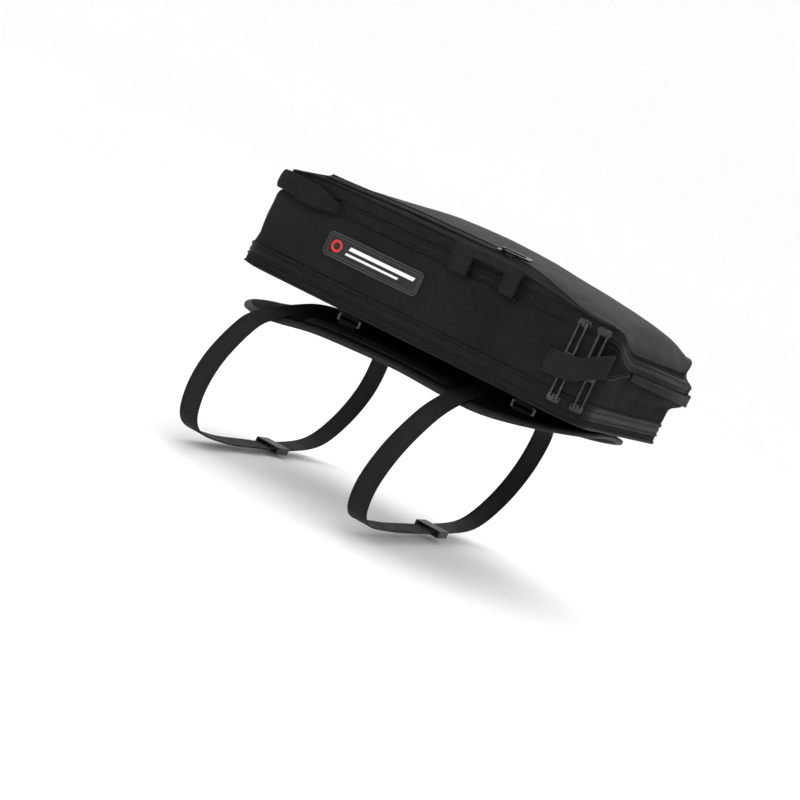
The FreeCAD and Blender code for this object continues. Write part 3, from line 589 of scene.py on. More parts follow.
MATERIALS = {}
for kind, name, *values in (
        (cloth, "nylon", 0.0085, 0.017, 2.0, (0.65, 0.85), 0.0, 0.7, 0.35, 0.02),
        (cloth, "lid_fabric", 0.014, 0.024, 1.1, (0.6, 0.75), 0.02, 0.35, 0.2, 0.1),
        # The piping's shades are set darker than the nylon's to paint in the shade along the seams
        # beside the welts: painted shade.
        (cloth, "piping", 0.003, 0.007, 0.9, (0.5, 0.65), 0.0, 0.4, 0.2, 0.1),
        (cloth, "binding", 0.009, 0.017, 0.9, (0.5, 0.65), 0.0, 0.4, 0.2, 0.16),
        (cloth, "zip_tape", 0.005, 0.01, 0.8, (0.5, 0.65), 0.0, 0.5, 0.2, 0.12),
        (rubber_paint, "teeth", 0.008, 0.016, 900, (0.3, 0.42), 0.15),
        (rubber_paint, "thread", 0.012, 0.022, 2500, (0.45, 0.6), 0.3),
        (webbing_paint, "webbing", 0.007, 0.014),
        (cloth, "patch", 0.004, 0.008, 1.4, (0.65, 0.85), 0.0, 0.6, 0.3, 0.02),
        (metal_paint, "zip_metal", 0.042, (0.12, 0.26)),
        (metal_paint, "ring_metal", 0.05, (0.3, 0.42)),
        (rubber_paint, "foam", 0.03, 0.05, 1600, (0.85, 0.95), 0.6),
        (rubber_paint, "board", 0.02, 0.03, 700, (0.5, 0.6), 0.2),
        (cloth, "lining", 0.05, 0.075, 0.7, (0.6, 0.75), 0.1, 0.3, 0.15, 0.2, 0.6),
        (rubber_paint, "badge_rubber", 0.006, 0.011, 1400, (0.42, 0.55), 0.25),
        (mat_paint, "mat_rubber"),
        (rubber_paint, "buckle_plastic", 0.01, 0.02, 800, (0.38, 0.5), 0.2),
        (print_paint, "red_print", (0.52, 0.012, 0.016)),
        (print_paint, "white_print", (0.78, 0.78, 0.78)),
        (print_paint, "grey_print", (0.038, 0.039, 0.042)),
        (studio_paint, "studio")):
    MATERIALS[name] = kind(name, *values)


# ---- pieces that follow the outline ----


def swept(shape, section, start=None, end=None, step=4.0, around=True):
    """Sweeps a section along the bag's outline, round all of it or from start to end.

    section takes columns of x, y and s, and gives rows of offsets and of heights."""
    loop = start is None
    s = spans(0, BAG.around, step)[:-1] if loop else spans(start, end, step)
    base, out = BAG.at(s)
    x, y, s = base[:, :1], base[:, 1:2], s[:, None]
    offset, height, _ = np.broadcast_arrays(*section(x, y, s), s)
    points = base[:, None, :] + out[:, None, :] * offset[..., None]
    points[..., 2] = height
    shape.grid(points, loop=loop, around=around, caps=around and not loop)


def welt(shape, height, radius, offset, wide, start, end):
    """A round welt whose centre line is at a height and offset."""
    turn = circle(10)

    def section(x, y, s):
        loose = 0.12 * np.sin(s / 23.0) + 0.1 * np.sin(s / 7.3)
        return offset + loose + wide * np.cos(turn), height(x, y) + radius * np.sin(turn)

    swept(shape, section, start, end, 3.0)


def along_outline(start, end, pitch, height, offset, shift=0.0):
    """Places at an even pitch along the bag's outline, with their directions."""
    s = np.arange(start + pitch * (0.5 + shift), end, pitch)
    base, out = BAG.at(s, offset)
    base[:, 2] = height(base[:, 0], base[:, 1])
    ahead = np.stack([-out[:, 1], out[:, 0], np.zeros(len(s))], -1)
    return base, ahead, np.broadcast_to([0.0, 0.0, 1.0], base.shape), out


def stitches(shape, start, end, height, offset, pitch=3.4, tag=0):
    """A line of stitches that follows the outline."""
    centre, ahead, up, out = along_outline(start, end, pitch, height, offset)
    shape.blocks(centre, ahead, up, out, (pitch * 0.72, 0.55, 0.45), tag=tag)


def stitch_path(shape, path, out, pitch=3.2, size=0.5, tag=0):
    """A line of stitches through points on a surface that faces out."""
    path = np.array(path, float)
    out = np.broadcast_to(np.array(out, float), path.shape)
    gone = np.concatenate([[0], np.cumsum(np.linalg.norm(np.diff(path, axis=0), axis=1))])
    at = np.arange(pitch / 2, gone[-1], pitch)

    def along(rows, shift=0.0):
        return np.stack([np.interp(at + shift, gone, column) for column in rows.T], -1)

    ahead, up = unit(along(path, 0.3) - along(path, -0.3)), unit(along(out))
    size = (pitch * 0.72, size, 0.4)
    shape.blocks(along(path) + up * 0.12, ahead, unit(np.cross(up, ahead)), up, size, tag=tag)


def ribbon(shape, path, across, wide, thick, closed=False, tag=0):
    """Flat webbing along a path, with slightly raised edges; across is the direction of its width."""
    path = np.array(path, float)
    if closed:
        tangent = unit(np.roll(path, -1, 0) - np.roll(path, 1, 0))
    else:
        tangent = unit(np.gradient(path, axis=0))
    across = unit(np.broadcast_to(np.array(across, float), path.shape))
    out = unit(np.cross(across, tangent))
    half, deep = np.broadcast_to(np.asarray(wide, float), path.shape[:1]) / 2, thick / 2
    rims = ((0, 0), (0.35, 0.9), (1.1, 1.12), (2, 0.92))
    places = [(rim - half, deep * lift) for rim, lift in rims] + [(0 * half, deep)]
    places += [(half - rim, deep * lift) for rim, lift in rims[:0:-1]]
    places += [(-a, -b) for a, b in places]
    sideways = np.stack([np.broadcast_to(a, half.shape) for a, _ in places], -1)
    lifted = np.array([b for _, b in places])
    points = path[:, None] + across[:, None] * sideways[..., None]
    points = points + out[:, None] * lifted[None, :, None]
    shape.grid(points, loop=closed, around=True, caps=not closed, tag=tag)
    return path, tangent


def rounded_width(place, start, end, wide, radius):
    """Width of a strip with rounded corners, at places between its ends."""
    short = radius - np.minimum(np.minimum(place - start, end - place), radius)
    return wide - 2 * (radius - np.sqrt(radius ** 2 - short ** 2))


def zip_half(name, centre, side, start, end, body, node):
    """One half of a zip: its tape, its coil and the stitching that holds it."""
    shape = Shape()
    near, far = 0.7 * side, 4.1 * side
    lip = np.array(((near, -1.5), (near, 0.0), (near + 0.5 * side, 0.3), (far, 0.35),
                    (far + 0.2 * side, -0.3), (far, -1.5)))

    def section(x, y, s):
        return lip[:, 1], centre(x, y) + lip[:, 0]

    swept(shape, section, start, end, 4.0)
    first, last = (0, BAG.around) if start is None else (start, end)
    teeth = along_outline(first, last, TOOTH_PITCH, above(centre, 0.78 * side), 0.5, shift=0.25 * side)
    shape.blocks(*teeth, (1.15, 1.5, 0.9), taper=0.8, tag=1)
    stitches(shape, first, last, above(centre, 3.3 * side), 0.42, 2.6, tag=2)
    sew(shape, name, "zip_tape teeth thread", body, node, "zip_tape")


def level(z):
    """A height that is the same all along."""
    return lambda x, y: np.full(np.shape(x), float(z))


def above(height, rise):
    """A height that runs above another one."""
    return lambda x, y: height(x, y) + rise


# ---- the shell ----


WALL = {}


def on_wall(points):
    """Moves pieces sewn on the near side out to the swollen surface of the wall."""
    columns = [np.interp(BAG.near(points[..., 0]), WALL["s"], column) for column in WALL["swell"].T]
    share = (points[..., 2] - WALL_FOOT) / (MAIN_ZIP - ZIP_EDGE - WALL_FOOT)
    place = np.clip(share, 0, 1) * (len(columns) - 1)
    low = np.minimum(place.astype(int), len(columns) - 2)
    stack = np.stack(columns)
    here = np.take_along_axis(stack, low[None], 0)[0]
    after = np.take_along_axis(stack, low[None] + 1, 0)[0]
    moved = points.copy()
    moved[..., 1] -= here + (after - here) * (place - low)
    return moved


def build_wall():
    """The padded side wall, swollen between its seams, and the lining inside it."""
    s = spans(0, BAG.around, 4.0)[:-1]
    base, out = BAG.at(s)
    levels = 17
    share = np.linspace(0, 1, levels)
    top = main_zip(base[:, 0], base[:, 1])[:, None] - ZIP_EDGE
    height = WALL_FOOT - 0.4 + (top - WALL_FOOT + 0.4) * share
    swell = 1.0 * np.sin(math.pi * share) ** 0.7
    points = base[:, None] + out[:, None] * swell[None, :, None]
    points[..., 2] = height
    points += out[:, None] * wobble(points, 0.5, 26, 3.1)[..., None]
    wall = Shape().grid(points, loop=True).make("wall_cover", ["nylon"], closed=False)
    start = np.array([v.co for v in wall.data.vertices])
    seams = [row * levels + end for row in range(len(s)) for end in (0, levels - 1)]
    puff(wall, seams, 1.6, 0.012, 1.7)
    corner = ease((s - BAG.near(118)) / 20) * (1 - ease((s - BAG.ahead(100)) / 20))
    badge = ease((s - BAG.near(-145)) / 20) * (1 - ease((s - BAG.near(0)) / 30))
    calm = 1 - np.repeat(0.75 * corner + 0.7 * badge, levels)[:, None]
    puffed = start + (np.array([v.co for v in wall.data.vertices]) - start) * calm
    puffed -= np.repeat(out, levels, 0) * ((1 - calm) * np.tile(swell, len(s))[:, None] * MM)
    wall.data.vertices.foreach_set("co", puffed.ravel())
    swollen = ((puffed / MM - fuller(np.repeat(base, levels, 0) + (0, 0, 1) * points.reshape(-1, 3)))
               * np.repeat(out, levels, 0)).sum(1).reshape(-1, levels)
    WALL.update(s=s, share=share, swell=swollen)
    thicken(wall, 1.3, levels=1)
    fit(wall, "shell", ["side_wall"], "nylon", padded=0.8)
    upright = spans(31, 84.6, 6)
    edge = np.array([(-2.2, z) for z in upright] + [(-2.8, 86.2), (-4.1, 86.9), (-5.6, 86.2)]
                    + [(-6.3, z) for z in upright[::-1]])

    def section(x, y, s):
        bow = (edge[:, 0] < -6) * np.sin((edge[:, 1] - 31) / 53.6 * math.pi)
        soft = 0.4 * np.sin(s / 31.0) * bow
        drop = (MAIN_ZIP - main_zip(x, y)) * (edge[:, 1] > 60)
        return edge[:, 0] + soft, edge[:, 1] - drop

    lining = Shape()
    swept(lining, section, step=5.0)
    stitches(lining, 0, BAG.around, above(main_zip, -10.5), -6.42)
    obj = lining.make("wall_lining_padded", ["lining"], outside=False)
    fit(obj, "shell", ["wall_foam", "wall_lining"], "lining", padded=0.7)


def build_lower_wall():
    """The short wall under the lower zip, and the folded gusset behind it."""
    share = np.linspace(0, 1, 5)

    def section(x, y, s):
        return 0.35 * np.sin(math.pi * share) + 0.1, 9.4 + 7.0 * share

    shape = Shape()
    swept(shape, section, around=False)
    lay_cloth(shape, "lower_wall_cover", "nylon", 1.2, "base", "lower_wall", "nylon")
    pleat = np.linspace(0, 1, 4 * PLEATS + 1)

    def folds(x, y, s):
        return -5.6 - 0.9 * np.sin(pleat * PLEATS * math.pi), 13.2 + 15.4 * pleat

    gusset = Shape()
    swept(gusset, folds, step=8.0, around=False)
    obj = lay_cloth(gusset, "gusset_pleats", "lining", 0.5, None, "expansion_gusset", "lining",
                    blend=("base", "shell", (0, 0, 0.0132), (0, 0, 0.0286)))


def build_pipings():
    """The welts over the seams."""
    whole, hinge = (None, None), (BAG.near(-119), BAG.far(-119))
    for name, node, body, height, radius, (start, end) in (
            ("welt_bottom", "bottom_piping", "base", level(8.7), 1.7, whole),
            ("welt_lower_zip_low", "lower_zip_bottom_piping", "base", level(17.1), 1.35, whole),
            ("welt_lower_zip_high", "lower_zip_top_piping", "shell", level(27.9), 2.1, whole),
            ("welt_main_zip_low", "main_zip_bottom_piping", "shell", above(main_zip, -5.0), 1.3, hinge),
            ("welt_main_zip_high", "main_zip_top_piping", "lid", above(main_zip, 5.0), 1.3, hinge),
            ("welt_lid_edge", "lid_edge_piping", "lid", above(lid_edge, -0.9), 1.35, whole)):
        shape = Shape()
        welt(shape, height, radius, 0.15, min(radius, 1.45), start, end)
        first, last = (0, BAG.around) if start is None else (start, end)
        stitches(shape, first, last, above(height, -0.2), 0.15 + min(radius, 1.45), 3.2, tag=1)
        # The piping cloth is darker than the wall's, so the welts paint the shade that lies in the
        # seams: painted shade.
        sew(shape, name, "piping thread", body, node, "piping")


def build_zips():
    """Both zips, each in two halves."""
    near, far = BAG.near(-150), BAG.far(-150)
    zip_half("zip_lower_low", level(LOWER_ZIP), -1, None, None, "base", "lower_zip_bottom")
    zip_half("zip_lower_high", level(LOWER_ZIP), 1, None, None, "shell", "lower_zip_top")
    zip_half("zip_main_low", main_zip, -1, near, far, "shell", "main_zip_bottom")
    zip_half("zip_main_high", main_zip, 1, near, far, "lid", "main_zip_top")


def build_hinge():
    """The fabric hinge at the back, and the padded wrap over it."""
    across = ("shell", "lid", (-0.191, 0, 0.088), (-0.191, 0, 0.102))
    strip = Shape()
    z = np.linspace(88.6, 101.4, 9)
    low, high = BAG.far(-146), BAG.around + BAG.near(-146)

    def flat(x, y, s):
        return -0.4, z

    swept(strip, flat, low, high, 4.0, around=False)
    lay_cloth(strip, "hinge_fabric", "nylon", 1.0, None, "hinge_strip", "zip_tape", blend=across)
    turn = circle(28)
    start, end = BAG.far(-116), BAG.around + BAG.near(-116)

    def padded(x, y, s):
        t = (s - start) / (end - start)
        tip = np.clip(np.minimum(t, 1 - t) * (end - start) / 16, 0, 1) ** 0.5
        fat = (4.6 + 0.4 * np.sin(s / 12.0) + 0.2 * np.sin(s / 5.1 + 1)) * tip + 0.6
        tall = 10.4 * (0.5 + 0.5 * ease(np.minimum(s - start, end - s) / 30)) + 0.8 * np.sin(s / 17.0)
        drift = 1.5 - 4.5 * np.clip(1 - np.minimum(t, 1 - t) * (end - start) / 60, 0, 1)
        c, q = np.cos(turn), np.sin(turn)
        square = np.sign(c) * np.abs(c) ** 0.55
        square = square + 0.1 * tip * np.sin(s / 9.7 + 2 * turn) * np.maximum(c, 0)
        height = WRAP_MIDDLE + drift + tall * np.sign(q) * np.abs(q) ** 0.8
        return 0.4 + fat * (1 + square), height

    wrap = Shape()
    swept(wrap, padded, start, end, 3.0)
    for shift in (-6.6, 6.6):
        stitches(wrap, start + 4, end - 4, level(WRAP_MIDDLE + shift), 9.6, 3.4, tag=1)
    obj = wrap.make("hinge_wrap_padded", ["nylon", "thread"])
    fit(obj, None, ["hinge_wrap"], "nylon", across, padded=0.7)


def build_floor():
    """The bottom panel and the lining over its board."""
    for name, node, inset, height, material in (
            ("floor_panel", "base_panel", 1.4, BAG_FOOT, "nylon"),
            ("floor_lining", "base_lining", 7.2, BAG_FOOT + 4.3, "lining")):
        outline = Outline(0, HALF_X - inset, HALF_Y - inset, CORNER - inset)
        x, y = plan_grid(outline, 9)
        ripple = 0.25 * np.sin(x / 37) * np.sin(y / 29) * np.clip(outline.inside(x, y) / 20, 0, 1)
        sheet = Shape().grid(joined(x, y, height + ripple))
        lay_cloth(sheet, name, material, 1.0, "base", node, material, 1.0, 1)


# ---- the lid ----

SLIT_REAR, SLIT_FRONT, SLIT_Y = -150.0, 52.0, -119.0


def settled(x):
    """How far the lid has sunk towards its rear end."""
    return 3.2 * ease((-np.asarray(x, float) - 40) / 110)


def lid_height(x, y):
    """Height of the lid's cover at points in plan."""
    edge, shoulder = lid_edge(x, y), lid_shoulder(x)
    sunk = settled(x) * (1 + 0.7 * ease((y + 108) / 50)) + 1.5 * ease((y + 20) / 120)
    inner = np.abs(y) / SHOULDER
    arch = shoulder + (lid_crown(x) - shoulder) * (1 - inner ** 2)
    slope = shoulder + (edge - shoulder) * (np.abs(y) - SHOULDER) / (HALF_Y - SHOULDER)
    full = np.where(inner < 1, arch, slope)
    roll = np.clip(BAG.inside(x, y) / 13, 0, 1)
    return edge + (full - sunk - edge) * np.sqrt(1 - (1 - roll) ** 2)


def seam_y(x):
    """The seam between the lid's near strip and its top panel, which runs to the corner in front."""
    return -SHOULDER - 24.5 * ease((x - 56) / 104) ** 0.9


def build_lid_top():
    """The near strip and the top panel, swollen together and then parted at their seam."""
    x = np.unique(np.concatenate([spans(-HALF_X, SLIT_REAR, 5), spans(SLIT_REAR, SLIT_FRONT, 5),
                                  spans(SLIT_FRONT, HALF_X, 4.5)]))
    strip = np.array((0, 4, 8.5, 12.5, 16.5, 21, 25.5, 28)) / 28
    edge = len(strip) - 1
    rest = np.linspace(0, 1, 52)[1:]
    seam = seam_y(x)[:, None]
    y = np.hstack([-HALF_Y + (seam + HALF_Y) * strip, seam + (HALF_Y - seam) * rest])
    gx, gy = BAG.rounded(np.repeat(x[:, None], y.shape[1], 1), y)
    points = joined(gx, gy, lid_height(gx, gy))
    inside = np.clip(BAG.inside(gx, gy) / 18, 0, 1)
    points[..., 2] += wobble(points, 1.0, 60, 5.0) * inside + wobble(points, 0.35, 17, 9.0) * inside
    rows, cols = gx.shape
    whole = Shape().grid(points).make("lid_draft", ["lid_fabric"], closed=False)
    number = np.arange(rows * cols).reshape(rows, cols)
    on_slit = (x > SLIT_REAR - 6) & (x < SLIT_FRONT + 6)
    pinned = [number[[0, -1]], number[:, [0, edge, -1]], number[on_slit, 3:edge + 1]]
    puff(whole, np.unique(np.concatenate([part.ravel() for part in pinned])), 0.9, 0.004, 3.0)
    final = np.array([v.co for v in whole.data.vertices]).reshape(rows, cols, 3) / MM
    bpy.data.objects.remove(whole)
    groove = np.exp(-((np.arange(cols) - edge) / 0.55) ** 2)
    final[..., 2] -= 0.9 * groove
    keep = np.ones((rows - 1, edge), bool)
    keep[(x[:-1] >= SLIT_REAR - 0.1) & (x[:-1] < SLIT_FRONT - 0.1), 4:6] = False
    near = Shape().grid(final[:, :edge + 1], keep=keep).make("lid_near_strip", ["nylon"], closed=False)
    top = Shape().grid(final[:, edge:]).make("lid_panel", ["lid_fabric"], closed=False)
    for obj, slot in ((near, "nylon"), (top, "lid_fabric")):
        thicken(obj, 1.2, levels=1)
        fit(obj, "lid", ["lid_top"], slot, padded=0.7)
    seam_line = final[:, edge]
    trim = Shape()
    beside = final[2:-2, edge + 1] * 0.35 + seam_line[2:-2] * 0.65
    stitch_path(trim, beside + (0, 0, 0.5), (0, -0.2, 1.0), 3.4)
    sew(trim, "lid_seam_stitches", "thread", "lid", "", "lid_fabric")
    # The cord along the seam takes the dark zip tape cloth to paint the shade in the seam line: painted
    # shade.
    turn = circle(10)
    ring = joined(0, 1.5 * np.cos(turn), 1.3 * np.sin(turn) + 0.5)
    cord = Shape().grid(seam_line[1:-1, None] + ring[None], around=True, caps=True)
    sew(cord, "lid_seam_welt", "zip_tape", "lid", "", "piping")


def build_lid_band():
    """The band between the main zip and the lid's top, and the lid's lining."""
    share = np.linspace(0, 1, 6)

    def section(x, y, s):
        low = main_zip(x, y) + 5.6
        high = np.maximum(lid_edge(x, y) - 1.4, low + 0.4)
        tall = high - low
        return 0.09 * tall * np.sin(math.pi * share), low + tall * share

    shape = Shape()
    swept(shape, section, around=False)
    lay_cloth(shape, "lid_band_cover", "nylon", 1.2, "lid", "lid_band", "nylon")
    low, high = cad_box("lid_lining")
    outline = Outline((low[0] + high[0]) / 2, (high[0] - low[0]) / 2, high[1], 17)
    cloth = Shape().grid(joined(*plan_grid(outline, 9), low[2] + 0.8))
    lay_cloth(cloth, "lid_lining_cloth", "lining", 0.8, "lid", "lid_lining", "lining", levels=1)


def build_pocket():
    """The lid pocket's zip, sewn over its slit."""
    tilt = math.radians(15)
    across = np.array((0, math.cos(tilt), math.sin(tilt)))
    up = np.array((0, -math.sin(tilt), math.cos(tilt)))
    x = spans(SLIT_REAR - 4, SLIT_FRONT + 4, 5)
    shape = Shape()
    middle = joined(x, SLIT_Y, POCKET_ZIP - settled(x))
    section = ((0.6, -0.5), (0.6, 0.35), (1.1, 0.5), (5.9, 0.4), (6.4, 0.0), (6.2, -0.7))
    for side in (-1, 1):
        lip = np.array([(a * side, b) for a, b in section])
        points = middle[:, None] + across * lip[None, :, 0, None] + up * lip[None, :, 1, None]
        shape.grid(points, around=True, caps=True)
        at = np.arange(SLIT_REAR + 0.4 * side, SLIT_FRONT, TOOTH_PITCH)
        teeth = joined(at, SLIT_Y, POCKET_ZIP - settled(at)) + across * (1.5 * side) + up * 0.65
        same = np.ones((len(at), 1))
        shape.blocks(teeth, same * (1, 0, 0), same * across, same * up, (1.05, 1.9, 0.9), tag=1)
        stitch_path(shape, middle + across * (3.4 * side) + up * 0.42, up, 2.8, tag=2)
    sew(shape, "pocket_zip_chain", "zip_tape teeth thread", "lid", "pocket_zip", "zip_tape")
    trim, turn = Shape(), circle(10)
    for side in (-1, 1):
        line = middle + across * (RAIL_HALF * side) + up * (0.25 + 0.35 * (side > 0))
        ring = across * (1.05 * np.cos(turn))[:, None] + up * (0.95 * np.sin(turn))[:, None]
        trim.grid(line[:, None] + ring[None], around=True, caps=True)
    sew(trim, "pocket_zip_welts", "piping", "lid", "", "piping")


# ---- trim ----


def build_badge():
    """The moulded badge with its raised rim, and a plain generic mark on it."""
    low, high = cad_box("badge")
    (half_x, _, half_z), centre = (high - low) / 2, (low + high) / 2
    centre[1] = high[1]
    outline = Outline(0, half_x, half_z, 5.5)
    s = spans(0, outline.around, 1.6)[:-1]
    profile = ((0, -1.4), (0, 0.9), (0.3, 1.3), (0.8, 1.5), (1.4, 1.5), (1.9, 1.3), (2.2, 0.9),
               (2.6, 0.8))

    def lifted(flat, height):
        return on_wall(centre + joined(flat[..., 0], 0, flat[..., 1])) - (0, height, 0)

    def ring(inset, height):
        return lifted(outline.at(s, -inset)[0], height)

    body = Shape().grid(np.array([ring(*row) for row in profile]), around=True)
    flat = np.stack(plan_grid(Outline(0, half_x - 2.6, half_z - 2.6, 2.9), 2), -1)
    body.grid(lifted(flat, 0.8))
    obj = body.make("badge_moulded", ["badge_rubber"])
    fit(obj, "shell", ["badge"], "badge_rubber")
    creases(obj, 50)
    mark = Shape()
    for inset, wide in ((0.5, 0.8), (3.3, 0.6)):
        lift = 1.35 if inset < 1 else 0.8
        rows = [ring(inset + a * wide, lift + b) for a, b in ((0, 0), (0, 0.22), (1, 0.22), (1, 0))]
        mark.grid(np.array(rows), loop=True, around=True, tag=2)
    turn = circle(32)
    rows = [lifted(np.stack([-42 + r * np.cos(turn), r * np.sin(turn)], -1), height)
            for r, height in ((6.2, 0.6), (6.2, 1.15), (3.6, 1.15), (3.6, 0.6))]
    mark.grid(np.array(rows), loop=True, around=True)
    for left, right, bottom, top in ((-29, 45, 0.9, 4.6), (-29, 31, -4.4, -2.2)):
        along = spans(left, right, 2)
        section = ((bottom, 0.5), (bottom, 1.15), (top, 1.15), (top, 0.5))
        rows = [lifted(np.stack([along + 0.35 * z, 0 * along + z], -1), height)
                for z, height in section]
        mark.grid(np.stack(rows, 1), around=True, caps=True, tag=1)
    obj = mark.make("badge_mark", ["red_print", "white_print", "grey_print"])
    creases(obj, 35)
    fit(obj, "shell", slot="badge_rubber")


def build_side_handle():
    """The webbing grab handle: a rolled grip between two folded feet."""
    (x0, face, z0), (x1, back, z1) = cad_box("side_handle")
    middle = (face + back) / 2
    shape = Shape()
    x = spans(x0 + 1.5, x1 - 2, 0.8)
    t = (x - x0) / (x1 - x0)
    path = joined(x, middle - 2.6 * np.sin(math.pi * t), z1 - 5.2 + 0.8 * np.sin(math.pi * t))
    ribbon(shape, path, UP, rounded_width(x, x[0], x[-1], 10.4, 4.5), 3.0)
    for shift in (-3.4, 3.4):
        stitch_path(shape, path[6:-6] + UP * shift + NEARWARD * 1.6, NEARWARD, tag=1)
    for left, right in ((x0 + 1, x0 + 23.5), (x1 - 20.5, x1 - 3.5)):
        z = spans(z0, z1 - 0.5, 0.8)
        bow = 0.4 + 1.2 * np.sin(math.pi * (z - z0) / (z1 - z0))
        foot = joined((left + right) / 2, middle - bow, z)
        ribbon(shape, foot, FORWARD, rounded_width(z, z0, z1 - 0.5, right - left, 3.5), 2.8)
        spot = np.array(((left + right) / 2, middle - 3.0, (z0 + z1) / 2 + 1))
        half = (right - left) / 2 - 3
        corners = [spot + FORWARD * a * half + UP * b * 8.5
                   for a, b in ((-1, -1), (1, -1), (1, 1), (-1, 1), (-1, -1))]
        for pair in zip(corners, corners[1:]):
            stitch_path(shape, pair, NEARWARD, 2.6, tag=1)
    sew(shape, "side_handle_webbing", "webbing thread", "side_handle", "side_handle", "webbing")
    feet = Shape()
    low, _ = cad_box("side_handle_feet")
    for left, right in ((12, 35), (68, 86)):
        y = spans(-HALF_Y - 0.6, low[1] + 0.4, 1.2)
        path = joined((left + right) / 2, y, 87.4 + 0.5 * np.sin((y + HALF_Y) / 2.0))
        ribbon(feet, path, FORWARD, right - left, 1.6)
    sew(feet, "side_handle_tabs", "webbing", "shell", "side_handle_feet", "webbing")


def build_front_handle():
    """The loose band of webbing across the front face."""
    flat = smooth_path([(x, y, 0) for x, y in HANDLE_ROUTE], 8)
    top = main_zip(190, np.clip(flat[:, 1], -77, 100)) - 6.8
    foot = 60.5 - 0.039 * flat[:, 1]
    flat[:, 2] = (top + foot) / 2
    wide = top - foot
    flat[:, 0] = 191.6 + (flat[:, 0] - 191) * 0.4
    shape = Shape()
    path, tangent = ribbon(shape, flat, UP, wide, 2.0)
    face = np.cross(tangent, UP)
    for side in (-1, 1):
        row = path + joined(0, 0, side * (wide - 3.6) / 2) + face
        stitch_path(shape, row, face, 3.4, tag=1)
    sew(shape, "front_handle_webbing", "webbing thread", "shell", "front_handle", "webbing")


def build_keeper():
    """The strap round the near front corner that the pulls tuck into."""
    start, end = BAG.near(135), BAG.near(HALF_X - CORNER) + CORNER * math.radians(64)
    s = spans(start, end, 2.0)
    edge = np.minimum(s - start, end - s)
    offset = 1.2 + 4.5 * ease(edge / 2.8)
    base, out = BAG.at(s, offset)
    base[:, 2] = 49.5 + np.interp(base[:, 0], (130, 168, 192), (0, 4.5, 19)) + 0.4 * np.sin(s / 9.0)
    shape = Shape()
    path, _ = ribbon(shape, base, UP, 24, 1.5)
    for shift in (-10.4, 10.4):
        stitch_path(shape, path + UP * shift + out * 0.8, out, tag=1)
    for k in (1, 4, len(s) - 5, len(s) - 2):
        ends = [path[k] - UP * 10 + out[k] * 0.9, path[k] + UP * 10 + out[k] * 0.9]
        stitch_path(shape, ends, out[k], 1.4, 0.9, 1)
    sew(shape, "keeper_strap", "webbing thread", "shell", "pull_keeper", "webbing")


def build_corner_patch():
    """The stiff patch on the near end of the front face."""
    start, end = BAG.near(HALF_X - CORNER) + CORNER * math.radians(20), BAG.ahead(-68)
    share = np.array((0, 0.02, 0.06, 0.3, 0.6, 0.94, 0.98, 1))

    def foot(x, y):
        return 57 + 9 * ease((y + 128) / 60)

    def section(x, y, s):
        t = (s - start) / (end - start)
        low, top = foot(x, y), main_zip(x, y) - 7.0
        lift = 2.2 + 0.25 * np.sin(s / 9.0) * np.ones(len(share))
        lift[:, (0, -1)] = 1.3
        return 1.2 + (lift - 1.2) * ease(np.minimum(t, 1 - t) * 12), low + (top - low) * share

    shape = Shape()
    swept(shape, section, start, end, 3.0, around=False)
    lay_cloth(shape, "corner_patch_cover", "patch", 0.8, "shell", "corner_patch", "nylon")
    trim = Shape()
    welt(trim, foot, 1.0, 2.2, 1.0, start + 8, end)
    stitches(trim, start + 8, end - 3, above(foot, 3.0), 2.4, tag=1)
    stitches(trim, start + 8, end - 3, above(main_zip, -9.5), 2.4, tag=1)
    sew(trim, "corner_patch_trim", "piping thread", "shell", "", "nylon")


# ---- the mat and its belts ----


def mat_height(x, y):
    """Height of the mat's underside."""
    return mat_middle(x) + (mat_side(x) - mat_middle(x)) * (y / MAT_HALF) ** 2


def build_mat():
    """The anti-slip pad, its binding and the webbing strips sewn on it."""
    inner = Outline(MAT.middle, MAT.half_x - 4, MAT.half_y - 4, MAT.corner - 4)
    x, y = plan_grid(inner, 6)
    ripple = 0.18 * np.clip(inner.inside(x, y) / 15, 0, 1) * np.sin(x / 16.0)
    pad = Shape().grid(joined(x, y, mat_height(x, y) + ripple))
    lay_cloth(pad, "mat_pad", "mat_rubber", MAT_THICK, "base", "seat_mat", "mat_rubber", 1.0, 1,
              padded=0.5)
    lip = np.array(((-8.0, 0.6), (-6, -0.25), (-2, -0.35), (-0.4, 0.6), (0, 2.2), (-0.4, 3.9),
                    (-2, 4.8), (-6, 4.75), (-8, 4.0)))
    shape = Shape()
    s = spans(0, MAT.around, 5)[:-1]
    base, out = MAT.at(s)
    spots = base[:, None] + out[:, None] * lip[None, :, 0, None]
    spots[..., 2] = mat_height(spots[..., 0], spots[..., 1]) + lip[:, 1]
    shape.grid(spots, loop=True, around=True)
    for lift, facing in ((5.0, 1.0), (-0.45, -1.0)):
        row = base - out * 6.2
        row[:, 2] = mat_height(row[:, 0], row[:, 1]) + lift - 0.2 * facing
        stitch_path(shape, row, UP * facing, 3.6, 0.6, 1)
    sew(shape, "mat_binding_tape", "binding thread", "base", "mat_binding", "piping")
    strips = Shape()
    for side in (-114.0, 114.0):
        at = spans(-112, 49, 6)
        path = joined(at, side, mat_height(at, side) + MAT_THICK + 0.75)
        tilt = (0, 1, (mat_side(-60) - mat_middle(-60)) * 2 * side / MAT_HALF ** 2)
        ribbon(strips, path, tilt, 16, 1.1)
        for shift in (-6, 6):
            stitch_path(strips, path + UP * 0.7 + (0, shift, shift * tilt[2]), UP, 3.4, tag=1)
    sew(strips, "mat_strips", "webbing thread", "base", "mat_webbing", "webbing")


